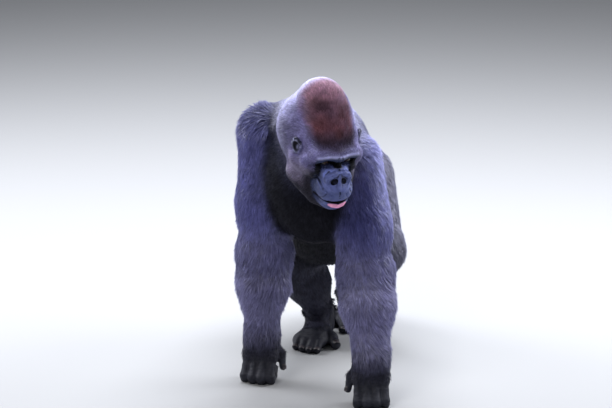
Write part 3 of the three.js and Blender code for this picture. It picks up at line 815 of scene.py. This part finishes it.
def makeSkinMaterial():
    made, tree, shader = newMaterial("gorillaSkin")
    nodes, look = tree.nodes, skinLook
    group, where = mottled(tree, shader, look)
    pores, folds = nodes.new("ShaderNodeTexVoronoi"), nodes.new("ShaderNodeTexNoise")
    pores.inputs["Scale"].default_value = look["poreScale"]
    stretch = nodes.new("ShaderNodeMapping")  # folds run across the face
    setSockets(stretch, {"Rotation": (math.radians(-21), 0, math.radians(-28)), "Scale": look["foldStretch"]})
    setSockets(folds, {"Scale": look["foldScale"], "Detail": 4})
    fine, deep = nodes.new("ShaderNodeBump"), nodes.new("ShaderNodeBump")
    setSockets(fine, {"Distance": look["poreDepth"]})
    setSockets(deep, {"Distance": look["foldDepth"]})
    rough = nodes.new("ShaderNodeMapRange")
    setSockets(rough, {"To Min": look["rough"][0], "To Max": look["rough"][1]})
    dullHollows(tree, group.outputs["Color"], shader.inputs["Specular IOR Level"],
                look["specular"], look["brightAt"])
    wire(tree, (where.outputs["Object"], stretch.inputs["Vector"]),
         (stretch.outputs["Vector"], folds.inputs["Vector"]),
         (where.outputs["Object"], pores.inputs["Vector"]),
         (folds.outputs["Fac"], deep.inputs["Height"]), (pores.outputs["Distance"], fine.inputs["Height"]),
         (deep.outputs["Normal"], fine.inputs["Normal"]),
         (fine.outputs["Normal"], shader.inputs["Normal"]),
         (group.outputs["Mask"], rough.inputs["Value"]),
         (rough.outputs["Result"], shader.inputs["Roughness"]))
    return made


eyeLook = dict(mottleScale=900.0, mottleAmount=0.3, roughness=0.12, specular=0.2, coat=0.1,
               coatRoughness=0.05)


def makeEyeMaterial():
    made, tree, shader = newMaterial("gorillaEye")
    mottled(tree, shader, eyeLook)
    setSockets(shader, {"Roughness": eyeLook["roughness"], "Specular IOR Level": eyeLook["specular"],
                        "Coat Weight": eyeLook["coat"], "Coat Roughness": eyeLook["coatRoughness"]})
    return made


nailLook = dict(mottleScale=300.0, mottleAmount=0.25, ridgeScale=900, ridgeDepth=0.0003,
                ridgeStretch=(1, 0.1, 0.3), roughness=0.32)


def makeNailMaterial():
    made, tree, shader = newMaterial("gorillaNail")
    nodes, look = tree.nodes, nailLook
    _, where = mottled(tree, shader, look)
    ridges, bump = nodes.new("ShaderNodeTexNoise"), nodes.new("ShaderNodeBump")
    stretch = nodes.new("ShaderNodeMapping")
    setSockets(stretch, {"Scale": look["ridgeStretch"]})
    setSockets(ridges, {"Scale": look["ridgeScale"]})
    setSockets(bump, {"Distance": look["ridgeDepth"]})
    wire(tree, (where.outputs["Object"], stretch.inputs["Vector"]),
         (stretch.outputs["Vector"], ridges.inputs["Vector"]),
         (ridges.outputs["Fac"], bump.inputs["Height"]), (bump.outputs["Normal"], shader.inputs["Normal"]))
    setSockets(shader, {"Roughness": look["roughness"]})
    return made


# Meshes from arrays.

# Puts points (own frame), faces of one size and a colour for each point into a new object.
def meshOf(name, points, faces, tone, material):
    mesh = bpy.data.meshes.new(name)
    count, size = faces.shape
    mesh.vertices.add(len(points))
    mesh.vertices.foreach_set("co", toPacked(points).astype(np.float32).ravel())
    mesh.loops.add(count * size)
    mesh.loops.foreach_set("vertex_index", faces.astype(np.int32).ravel())
    mesh.polygons.add(count)
    mesh.polygons.foreach_set("loop_start", np.arange(0, count * size, size, dtype=np.int32))
    mesh.update(calc_edges=True)
    mesh.polygons.foreach_set("use_smooth", np.ones(count, bool))
    giveTone(mesh, tone)
    mesh.materials.append(material)
    made = bpy.data.objects.new(name, mesh)
    bpy.context.scene.collection.objects.link(made)
    return made


def giveTone(mesh, tone):
    layer = mesh.color_attributes.new("tone", "FLOAT_COLOR", "POINT")
    layer.data.foreach_set("color", np.c_[tone, np.ones(len(tone))].astype(np.float32).ravel())


def pointsOf(mesh):
    co = np.empty(len(mesh.vertices) * 3, np.float32)
    mesh.vertices.foreach_get("co", co)
    return toOwn(co.reshape(-1, 3).astype(float))


def putPoints(mesh, points):
    mesh.vertices.foreach_set("co", toPacked(points).astype(np.float32).ravel())
    mesh.update()


def normalsOf(mesh):
    n = np.empty(len(mesh.vertices) * 3, np.float32)
    mesh.vertex_normals.foreach_get("vector", n)
    return n.reshape(-1, 3).astype(float)


# The skin.

skinMake = dict(voxel=0.0042, bodyShare=0.30, most=14)
fleshNodes = sorted(name for name in frame["nodes"] if not name.startswith("eye_"))


def useOnly(made):
    bpy.ops.object.select_all(action="DESELECT")
    made.select_set(True)
    bpy.context.view_layer.objects.active = made


def faceOutwards(made):
    useOnly(made)
    bpy.ops.object.mode_set(mode="EDIT")
    bpy.ops.mesh.select_all(action="SELECT")
    bpy.ops.mesh.normals_make_consistent(inside=False)
    bpy.ops.object.mode_set(mode="OBJECT")


def applyModifier(made, kind, **settings):
    modifier = made.modifiers.new(kind.lower(), kind)
    for key, value in settings.items():
        setattr(modifier, key, value)
    useOnly(made)
    bpy.ops.object.modifier_apply(modifier=modifier.name)


def splitFaces(made, chosen):  # cuts the chosen faces in four
    mesh = made.data
    work = bmesh.new()
    work.from_mesh(mesh)
    work.faces.ensure_lookup_table()
    edges = {edge for i in np.nonzero(chosen)[0] for edge in work.faces[i].edges}
    bmesh.ops.subdivide_edges(work, edges=list(edges), cuts=1, use_grid_fill=True)
    work.to_mesh(mesh)
    work.free()
    mesh.update()


def faceCentres(mesh):
    c = np.empty(len(mesh.polygons) * 3, np.float32)
    mesh.polygons.foreach_get("center", c)
    return toOwn(c.reshape(-1, 3).astype(float))


def makeSkin(material):
    copies = []
    for name in fleshNodes:
        copy = frame["nodes"][name].copy()
        copy.data = copy.data.copy()
        copy.parent = None
        bpy.context.scene.collection.objects.link(copy)
        copies.append(copy)
    bpy.ops.object.select_all(action="DESELECT")
    for copy in copies:
        copy.select_set(True)
    bpy.context.view_layer.objects.active = copies[0]
    bpy.ops.object.join()
    skin = copies[0]
    skin.name = skin.data.name = "gorillaSkin"
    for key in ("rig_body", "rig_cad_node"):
        if key in skin:
            del skin[key]
    mesh = skin.data
    work = bmesh.new()
    work.from_mesh(mesh)
    bmesh.ops.remove_doubles(work, verts=work.verts, dist=1e-5)
    work.to_mesh(mesh)
    work.free()
    applyModifier(skin, "REMESH", mode="VOXEL", voxel_size=skinMake["voxel"])
    applyModifier(skin, "SMOOTH", factor=0.5, iterations=4)
    print("skin: remeshed", len(mesh.vertices))

    furry = coatCover(pointsOf(skin.data)) > 0.6
    group = skin.vertex_groups.new(name="furry")
    group.add(np.nonzero(furry)[0].tolist(), 1.0, "REPLACE")
    applyModifier(skin, "DECIMATE", ratio=skinMake["bodyShare"], vertex_group="furry")
    skin.vertex_groups.clear()
    putPoints(skin.data, slideToSkin(pointsOf(skin.data), 2, 30))
    print("skin: decimated", len(skin.data.vertices), len(skin.data.polygons))

    centres = faceCentres(skin.data)
    q = toHead(centres)
    near = np.linalg.norm(q, axis=1) < faceReach
    splitFaces(skin, near & (np.maximum(bareFace(q), bareEar(q)) > 0.3))
    applyModifier(skin, "SMOOTH", factor=0.5, iterations=1)
    putPoints(skin.data, slideToSkin(pointsOf(skin.data), 1, skinMake["most"]))
    centres = faceCentres(skin.data)
    q = toHead(centres)
    x, y, z = np.abs(q[:, 0]), q[:, 1], q[:, 2]
    eyes = np.hypot((x - eye["across"]) / 26, (z - eye["up"]) / 22) < 1
    nose = (x < 50) & (z < 14) & (z > -66)
    mouth = (x < 56) & (z < -80) & (z > -116)
    near = np.linalg.norm(q, axis=1) < faceReach
    splitFaces(skin, near & ((y < -78) & (eyes | nose | mouth) | (bareEar(q) > 0.3)))
    for _ in range(2):
        applyModifier(skin, "SMOOTH", factor=0.35, iterations=2)  # evens out the spacing of the points
        putPoints(skin.data, slideToSkin(pointsOf(skin.data), 2, 6))
    ears = skin.vertex_groups.new(name="ears")
    points = pointsOf(skin.data)
    ears.add(np.nonzero((bareEar(toHead(points)) > 0.5) & (points[:, 2] > 600))[0].tolist(), 1.0, "REPLACE")
    applyModifier(skin, "SMOOTH", factor=0.5, iterations=5, vertex_group="ears")
    skin.vertex_groups.clear()
    applyModifier(skin, "TRIANGULATE")
    mesh = skin.data
    mesh.polygons.foreach_set("use_smooth", np.ones(len(mesh.polygons), bool))
    mesh.materials.clear()
    mesh.materials.append(material)
    mesh.polygons.foreach_set("material_index", np.zeros(len(mesh.polygons), np.int32))
    points, normals = pointsOf(mesh), normalsOf(mesh)
    giveTone(mesh, skinMarkings(points, normals, shares(points)))
    print("skin: finished", len(mesh.vertices), len(mesh.polygons))
    return skin


# The coat.

coat = dict(
    tufts=dict(head=62000, neck=44000, chest=58000, belly=54000, rump=46000,
               arm_left=64000, arm_right=64000, leg_left=50000, leg_right=50000),
    widthPerLength=0.05, width=(0.9, 2.3), rootSink=1.2, midway=0.46, midRise=0.24, tipRise=0.27,
    twist=0.6, swirl=0.16, swirlSize=26, lockSize=13, lockPull=0.13, tipTone=1.3, midTone=0.92, rootTone=0.5,
    patch=0.0015)


def pieceAt(p, share):
    names = list(parts)
    best = share.argmax(0)
    piece = np.empty(len(p), dtype=object)
    piece[:] = "belly"
    for i, name in enumerate(names):
        kind, mine = kindOf(name), best == i
        if kind in ("head", "neck"):
            piece[mine] = kind
        elif kind == "trunk":
            piece[mine & (p[:, 1] < -110)] = "chest"
            piece[mine & (p[:, 1] > 130)] = "rump"
        else:
            piece[mine] = ("arm_" if kind in ("upperArm", "forearm") else "leg_") + name.split("_")[1]
    return piece


# Which way the hair lies: each part's own way, mixed by its share, flattened onto the skin.
def lieAt(p, n, share):
    q, local = toHead(p), n @ headTurn
    side = np.sign(q[:, :1]) * np.abs(local[:, :1])
    over = np.stack([np.zeros(len(p)), local[:, 2], -local[:, 1]], 1)  # from the brow over the crown
    cheek, chin = smooth(30, -20, q[:, 2])[:, None], smooth(-45, -85, q[:, 2])[:, None]
    aside = mix((0, 0.8, -0.25), (0, 0.45, -0.9), cheek)
    onHead = mix(over * (1 - np.abs(side)) + aside * np.abs(side) * 1.2, (0, 0.5, -0.85), chin)
    ways = {"head": onHead @ headTurn.T}
    ways["neck"] = np.tile(unit((-0.12, 0.75, -0.55)), (len(p), 1))
    ways["trunk"] = unit(np.stack([0.3 * np.clip(p[:, 0] / 150, -1, 1), np.ones(len(p)),
                                   np.full(len(p), -0.55)], 1))
    for side, s in sides.items():
        j = {key: np.array(place, float) for key, place in joint[side].items()}
        ways[f"upperArm_{side}"] = np.tile(unit(unit(j["elbow"] - j["shoulder"]) + (s * 0.12, 0.34, 0)),
                                           (len(p), 1))
        hand = smooth(190, 110, p[:, 2])[:, None]
        ways[f"forearm_{side}"] = mix(unit((s * 0.28, 0.42, -0.85)), (0, -0.35, -1), hand)
        ways[f"thigh_{side}"] = np.tile(unit(unit(j["knee"] - j["hip"]) + (0, 0.55, -0.1)), (len(p), 1))
        foot = smooth(120, 80, p[:, 2])[:, None]
        ways[f"shank_{side}"] = mix(unit(unit(j["ankle"] - j["knee"]) + (0, 0.1, 0)), (0, -1, -0.3), foot)
    way = sum(share[i][:, None] * ways[name] for i, name in enumerate(parts))
    drift = np.stack([softNoise(p, coat["swirlSize"], seed) - 0.5 for seed in (11, 12, 13)], 1)
    way = way + drift * 2 * coat["swirl"] * 2
    flat = way - (way * n).sum(1, keepdims=True) * n
    strength = np.linalg.norm(flat, axis=1)
    return flat / np.maximum(strength, 1e-6)[:, None], strength


# The skin's own shape laid out flat, for the faces under one piece of the coat.
def unwrapOf(points, triangles):
    used, again = np.unique(triangles, return_inverse=True)
    made = meshOf("unwrap", points[used], again.reshape(-1, 3), np.zeros((len(used), 3)), coatMaterial)
    made.data.uv_layers.new(name="flat")
    useOnly(made)
    bpy.ops.object.mode_set(mode="EDIT")
    bpy.ops.mesh.select_all(action="SELECT")
    bpy.ops.uv.smart_project(angle_limit=math.radians(72), island_margin=0.002, scale_to_bounds=True)
    bpy.ops.object.mode_set(mode="OBJECT")
    uv = np.empty(len(triangles) * 6, np.float32)
    made.data.uv_layers["flat"].uv.foreach_get("vector", uv)
    bpy.data.meshes.remove(made.data)
    return uv.reshape(-1, 3, 2).astype(float)


# Tufts over the chosen faces. Roots are spread by area. Each tuft is a thin blade of three triangles
# that leaves the skin along its lie, rises over its first half and then runs level to its tip.
def makeCoatPiece(name, points, normals, triangles, weight, count):
    c = coat
    corners = points[triangles]
    area = np.linalg.norm(np.cross(corners[:, 1] - corners[:, 0], corners[:, 2] - corners[:, 0]), axis=1)
    chance = np.cumsum(area * weight)
    pick = np.minimum(np.searchsorted(chance, dice.random(count) * chance[-1]), len(triangles) - 1)
    u, v = dice.random(count), dice.random(count)
    u, v = np.where(u + v > 1, 1 - u, u), np.where(u + v > 1, 1 - v, v)
    bary = np.stack([1 - u - v, u, v], 1)[:, :, None]
    root = (corners[pick] * bary).sum(1)
    n = unit((normals[triangles[pick]] * bary).sum(1))
    share = shares(root)
    cover = coatCover(root)
    lie, strength = lieAt(root, n, share)
    across = np.cross(n, lie)
    length = lengthAt(root, share) * dice.uniform(0.72, 1.18, count) * mix(0.3, 1, smooth(0.05, 0.8, cover))
    lock = np.stack([softNoise(root, c["lockSize"], seed) - 0.5 for seed in (21, 22)], 1) * 2 * c["lockPull"]
    stray = dice.normal(0, 1, (count, 3)) * (0.05, 0.10, 0.035)
    rise = (c["tipRise"] + stray[:, 2] + 0.10 * (softNoise(root, 19, 31) - 0.5)
            + 0.16 * smooth(0.45, 0.1, strength))
    width = np.clip(length * c["widthPerLength"], *c["width"]) * dice.uniform(0.75, 1.25, count) * wider
    twist = dice.uniform(-c["twist"], c["twist"], count)
    wide = (across * np.cos(twist)[:, None] + n * np.sin(twist)[:, None]) * width[:, None] / 2
    base = root - n * c["rootSink"]
    half = c["midway"]
    middle = root + length[:, None] * (lie * half + n * (c["midRise"] + 0.5 * (rise - c["tipRise"]))[:, None]
                                       + across * (0.45 * lock[:, :1] + 0.4 * stray[:, 1:2]))
    tip = root + length[:, None] * (lie * (0.97 + 0.3 * lock[:, 1:]) + n * rise[:, None]
                                    + across * (1.5 * lock[:, :1] + stray[:, 1:2]))
    blades = np.stack([base - wide, base + wide, middle - wide * 0.9, middle + wide * 0.9, tip], 1)
    blades[:, :, 2] = np.maximum(blades[:, :, 2], 0.5)
    marks = coatMarkings(root, n, share)
    locks = 0.8 + 0.4 * softNoise(root, 8, 41)
    marks = marks * (locks * dice.uniform(0.72, 1.3, count))[:, None]
    fromRoot = np.array([c["rootTone"]] * 2 + [c["midTone"]] * 2 + [c["tipTone"]])
    tone = marks[:, None, :] * fromRoot[None, :, None]
    first = np.arange(count)[:, None, None] * 5
    faces = (first + np.array([[0, 1, 3], [0, 3, 2], [2, 3, 4]])).reshape(-1, 3)
    made = meshOf(f"coat_{name}", blades.reshape(-1, 3), faces, tone.reshape(-1, 3), coatMaterial)
    rootUv = (unwrapOf(points, triangles)[pick] * bary).sum(1) * 0.99 + 0.005
    d = c["patch"]
    patch = rootUv[:, None, :] + np.array([[-d, -d], [d, -d], [-d, 0.2 * d], [d, 0.2 * d], [0, d]])
    layer = made.data.uv_layers.new(name="OFBake")
    layer.uv.foreach_set("vector", patch.reshape(-1, 2)[faces.ravel()].astype(np.float32).ravel())
    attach(made, "root")
    print("coat:", name, count, "tufts", len(faces), "faces")


def makeCoat(skin):
    mesh = skin.data
    triangles = np.empty(len(mesh.polygons) * 3, np.int32)
    mesh.polygons.foreach_get("vertices", triangles)
    triangles = triangles.reshape(-1, 3)
    points, normals = pointsOf(mesh), normalsOf(mesh)
    centres = points[triangles].mean(1)
    share, cover = shares(centres), coatCover(centres)
    density = smooth(0.03, 0.4, cover) * (1 + 0.9 * smooth(0.95, 0.4, cover))
    piece = pieceAt(centres, share)
    for name, count in coat["tufts"].items():
        mine = (piece == name) & (density > 0.01)
        makeCoatPiece(name, points, normals, triangles[mine], density[mine], int(count * fewer))


# Eyes and nails.

# A closed ball about an axis: rings by the angle from the axis, points round each ring. Its radius
# grows by a small rise within the cornea.
def makeEye(side):
    s, e = sides[side], eye
    rings, around = 40, 48
    angle = np.linspace(0, math.pi, rings + 2)[1:-1]
    turn = np.linspace(0, 2 * math.pi, around, endpoint=False)
    cornea = math.radians(e["corneaDegrees"])
    radius = e["radius"] + e["corneaRise"] * smooth(cornea * 1.15, cornea * 0.3, angle)
    ahead = unit((s * e["gaze"][0], e["gaze"][1], e["gaze"][2]))
    aside = unit(np.cross(ahead, (0, 0, 1)))
    above = np.cross(aside, ahead)
    ring = (np.cos(angle) * radius)[:, None, None] * ahead + (np.sin(angle) * radius)[:, None, None] * (
        np.cos(turn)[None, :, None] * aside + np.sin(turn)[None, :, None] * above)
    ends = np.stack([ahead * (e["radius"] + e["corneaRise"]), -ahead * e["radius"]])
    local = np.concatenate([ring.reshape(-1, 3), ends]) + (s * e["across"], -e["out"], e["up"])
    points = local @ headTurn.T + headCentre
    i = np.arange(around)
    nxt = (i + 1) % around
    rows = np.arange(rings - 1)[:, None] * around
    a, b, c, d = rows + i, rows + nxt, rows + around + i, rows + around + nxt
    faces = [np.stack([a, c, b], -1).reshape(-1, 3), np.stack([b, c, d], -1).reshape(-1, 3),
             np.stack([np.full(around, rings * around), i, nxt], 1),
             np.stack([np.full(around, rings * around + 1), (rings - 1) * around + nxt,
                       (rings - 1) * around + i], 1)]
    degrees = np.degrees(np.concatenate([np.repeat(angle, around), [0, math.pi]]))
    white, iris, pupil = paint(26, 19, 18), paint(52, 29, 17), paint(5, 4, 4)
    spokes = np.stack([np.r_[np.tile(turn, rings), 0, 0] * 9, degrees * 0.05, degrees * 0], 1)
    rays = 0.8 + 0.4 * softNoise(spokes, 1, 51)
    tone = lay(np.tile(white, (len(points), 1)), iris, smooth(29, 26, degrees))
    tone = lay(tone * rays[:, None], pupil, smooth(12.5, 10.5, degrees))
    tone = lay(tone, pupil, 0.7 * smooth(3, 0, np.abs(degrees - 27.5)))
    made = meshOf(f"eyeball_{side}", points, np.concatenate(faces), tone, eyeMaterial)
    faceOutwards(made)
    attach(made, "root")
    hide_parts(f"eye_{side}")


nail = dict(across=9, along=8, spread=58, rise=0.5, base=-0.35, tip=1.12, thickness=0.0012)


# A nail plate: arcs about the last bone, from its base to just past the fingertip.
def nailGrid(start, end, outward, radius):
    axis = unit(np.subtract(end, start))
    out = unit(np.asarray(outward, float) - np.dot(outward, axis) * axis)
    aside = np.cross(axis, out)
    a = np.radians(np.linspace(-nail["spread"], nail["spread"], nail["across"]))[None, :, None]
    t = np.linspace(0, 1, nail["along"])[:, None, None]
    along = (nail["base"] + (nail["tip"] - nail["base"]) * t) * radius * (1 - 0.16 * (a / a.max()) ** 2 * t)
    r = radius + nail["rise"] * smooth(0, 0.4, t) - 0.5 * (1 - smooth(0, 0.25, t)) - 1.4 * t ** 3
    return np.asarray(end) + axis * along + r * (out * np.cos(a) + aside * np.sin(a) * 0.92)


def makeNails():
    grids = []
    for side in sides:
        for bone, plates in (("wrist", handNails()), ("ankle", footNails())):
            x, y, _ = joint[side][bone]
            grids += [grid @ stanceOf(side).T + (x, y, 0) for grid in plates]
    points = np.concatenate([grid.reshape(-1, 3) for grid in grids])
    rows, columns = nail["along"], nail["across"]
    i = (np.arange(rows - 1)[:, None] * columns + np.arange(columns - 1)).ravel()
    quad = np.stack([i, i + 1, i + columns + 1, i + columns], 1)
    faces = (np.arange(len(grids))[:, None, None] * rows * columns + quad).reshape(-1, 4)
    along = np.tile(np.linspace(0, 1, rows)[:, None], (1, columns)).ravel()
    tone = mix(paint(46, 42, 46), paint(92, 86, 90), smooth(0.55, 1, along)[:, None])  # paler at the tip
    tone = np.tile(tone, (len(grids), 1))
    made = meshOf("nails", points, faces, tone, nailMaterial)
    applyModifier(made, "SOLIDIFY", thickness=nail["thickness"], offset=0)
    faceOutwards(made)
    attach(made, "root")


def handNails():
    plates = [nailGrid((-62, -4, 64), (-66.4, -10.9, 47), (-1, -0.5, 0.1), 10.2)]
    for i in range(4):
        b = fingerBones(i)
        plates.append(nailGrid(b["curl"], b["tip"], (0, 1, -0.8), fingerRadius - 2.4))
    return plates


def footNails():
    plates = [nailGrid((-64, -84, 17), (-74, -101, 14.6), (-0.25, 0, 1), 14.6)]
    for i in range(4):
        root, tip = toeBones(i)
        plates.append(nailGrid(mix(root, tip, 0.6), tip, (0, 0, 1), toeRadius - 0.8))
    return plates


# Build.

fewer, wider = ((1.0, 1.0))
coatMaterial, skinMaterial = makeCoatMaterial(), makeSkinMaterial()
eyeMaterial, nailMaterial = makeEyeMaterial(), makeNailMaterial()
skin = makeSkin(skinMaterial)
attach(skin, "root")
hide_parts(*fleshNodes)
for side in sides:
    makeEye(side)
makeNails()
print("eyes and nails done")
makeCoat(skin)

# Floor, light and camera.

floorLook = dict(colour=(0.36, 0.365, 0.375, 1), roughness=0.9, halfWidth=30)


def makeFloor():
    made, _, shader = newMaterial("paleFloor")
    setSockets(shader, {"Base Color": floorLook["colour"], "Roughness": floorLook["roughness"]})
    size = floorLook["halfWidth"]
    floor = meshOf("floor", np.zeros((4, 3)), np.array([[0, 1, 2, 3]]), np.zeros((4, 3)), made)
    corners = np.array([[-size, -size, 0], [size, -size, 0], [size, size, 0], [-size, size, 0]], np.float32)
    floor.data.vertices.foreach_set("co", corners.ravel())
    floor.data.update()


lights = [
    dict(name="sky", at=(0.2, 1.1, 3.7), to=(0, -0.1, 0.5), size=3.2, power=330, colour=(0.93, 0.95, 1.0)),
    dict(name="front", at=(-1.8, -3.8, 4.4), to=(0, -0.3, 0.5), size=2.2, power=110,
         colour=(1.0, 0.98, 0.96)),
    dict(name="rimLeft", at=(3.4, 1.3, 2.3), to=(0, -0.1, 0.6), size=2.0, power=130,
         colour=(0.95, 0.96, 1.0)),
    dict(name="rimRight", at=(-3.4, 1.3, 2.5), to=(0, -0.1, 0.7), size=2.0, power=145,
         colour=(0.95, 0.96, 1.0)),
]


def aimed(made, at, to):
    made.location = at
    made.rotation_euler = (Vector(to) - Vector(at)).to_track_quat("-Z", "Y").to_euler()


def makeLights():
    for lamp in lights:
        data = bpy.data.lights.new(lamp["name"], "AREA")
        data.size, data.energy, data.color = lamp["size"], lamp["power"], lamp["colour"]
        made = bpy.data.objects.new(lamp["name"], data)
        bpy.context.scene.collection.objects.link(made)
        aimed(made, lamp["at"], lamp["to"])
    world = bpy.data.worlds.new("studio")
    world.use_nodes = True
    setSockets(world.node_tree.nodes["Background"], {"Color": (0.82, 0.86, 0.95, 1), "Strength": 0.16})
    bpy.context.scene.world = world
    bpy.context.scene.view_settings.view_transform = "Standard"


# The camera stands 9 m from the forward hand, 19 degrees up and 6 to the animal's left of ahead. Its
# focal length and the aim's offsets are in pixels of the picture.
view = dict(yaw=6, height=19, away=9.0, focal=3105.0, zoom=1.002, aside=-2.9, above=201,
            pictureWidth=612, sensorWidth=36)


def makeCamera():
    yaw, height, focal = math.radians(view["yaw"]), math.radians(view["height"]), view["focal"]
    back = np.array([math.sin(yaw) * math.cos(height), -math.cos(yaw) * math.cos(height), math.sin(height)])
    right = np.array([math.cos(yaw), math.sin(yaw), 0])
    above = np.cross(right, -back)
    target = toPacked(np.array([0, -470, 0]))
    at = target + back * view["away"]
    look = -back * focal + right * view["aside"] + above * view["above"]
    data = bpy.data.cameras.new("camera")
    data.sensor_width = view["sensorWidth"]
    data.lens = focal * view["zoom"] / view["pictureWidth"] * view["sensorWidth"]
    made = bpy.data.objects.new("camera", data)
    bpy.context.scene.collection.objects.link(made)
    aimed(made, at, at + unit(look))
    bpy.context.scene.camera = made


makeFloor()
makeLights()
makeCamera()
print("stage done")
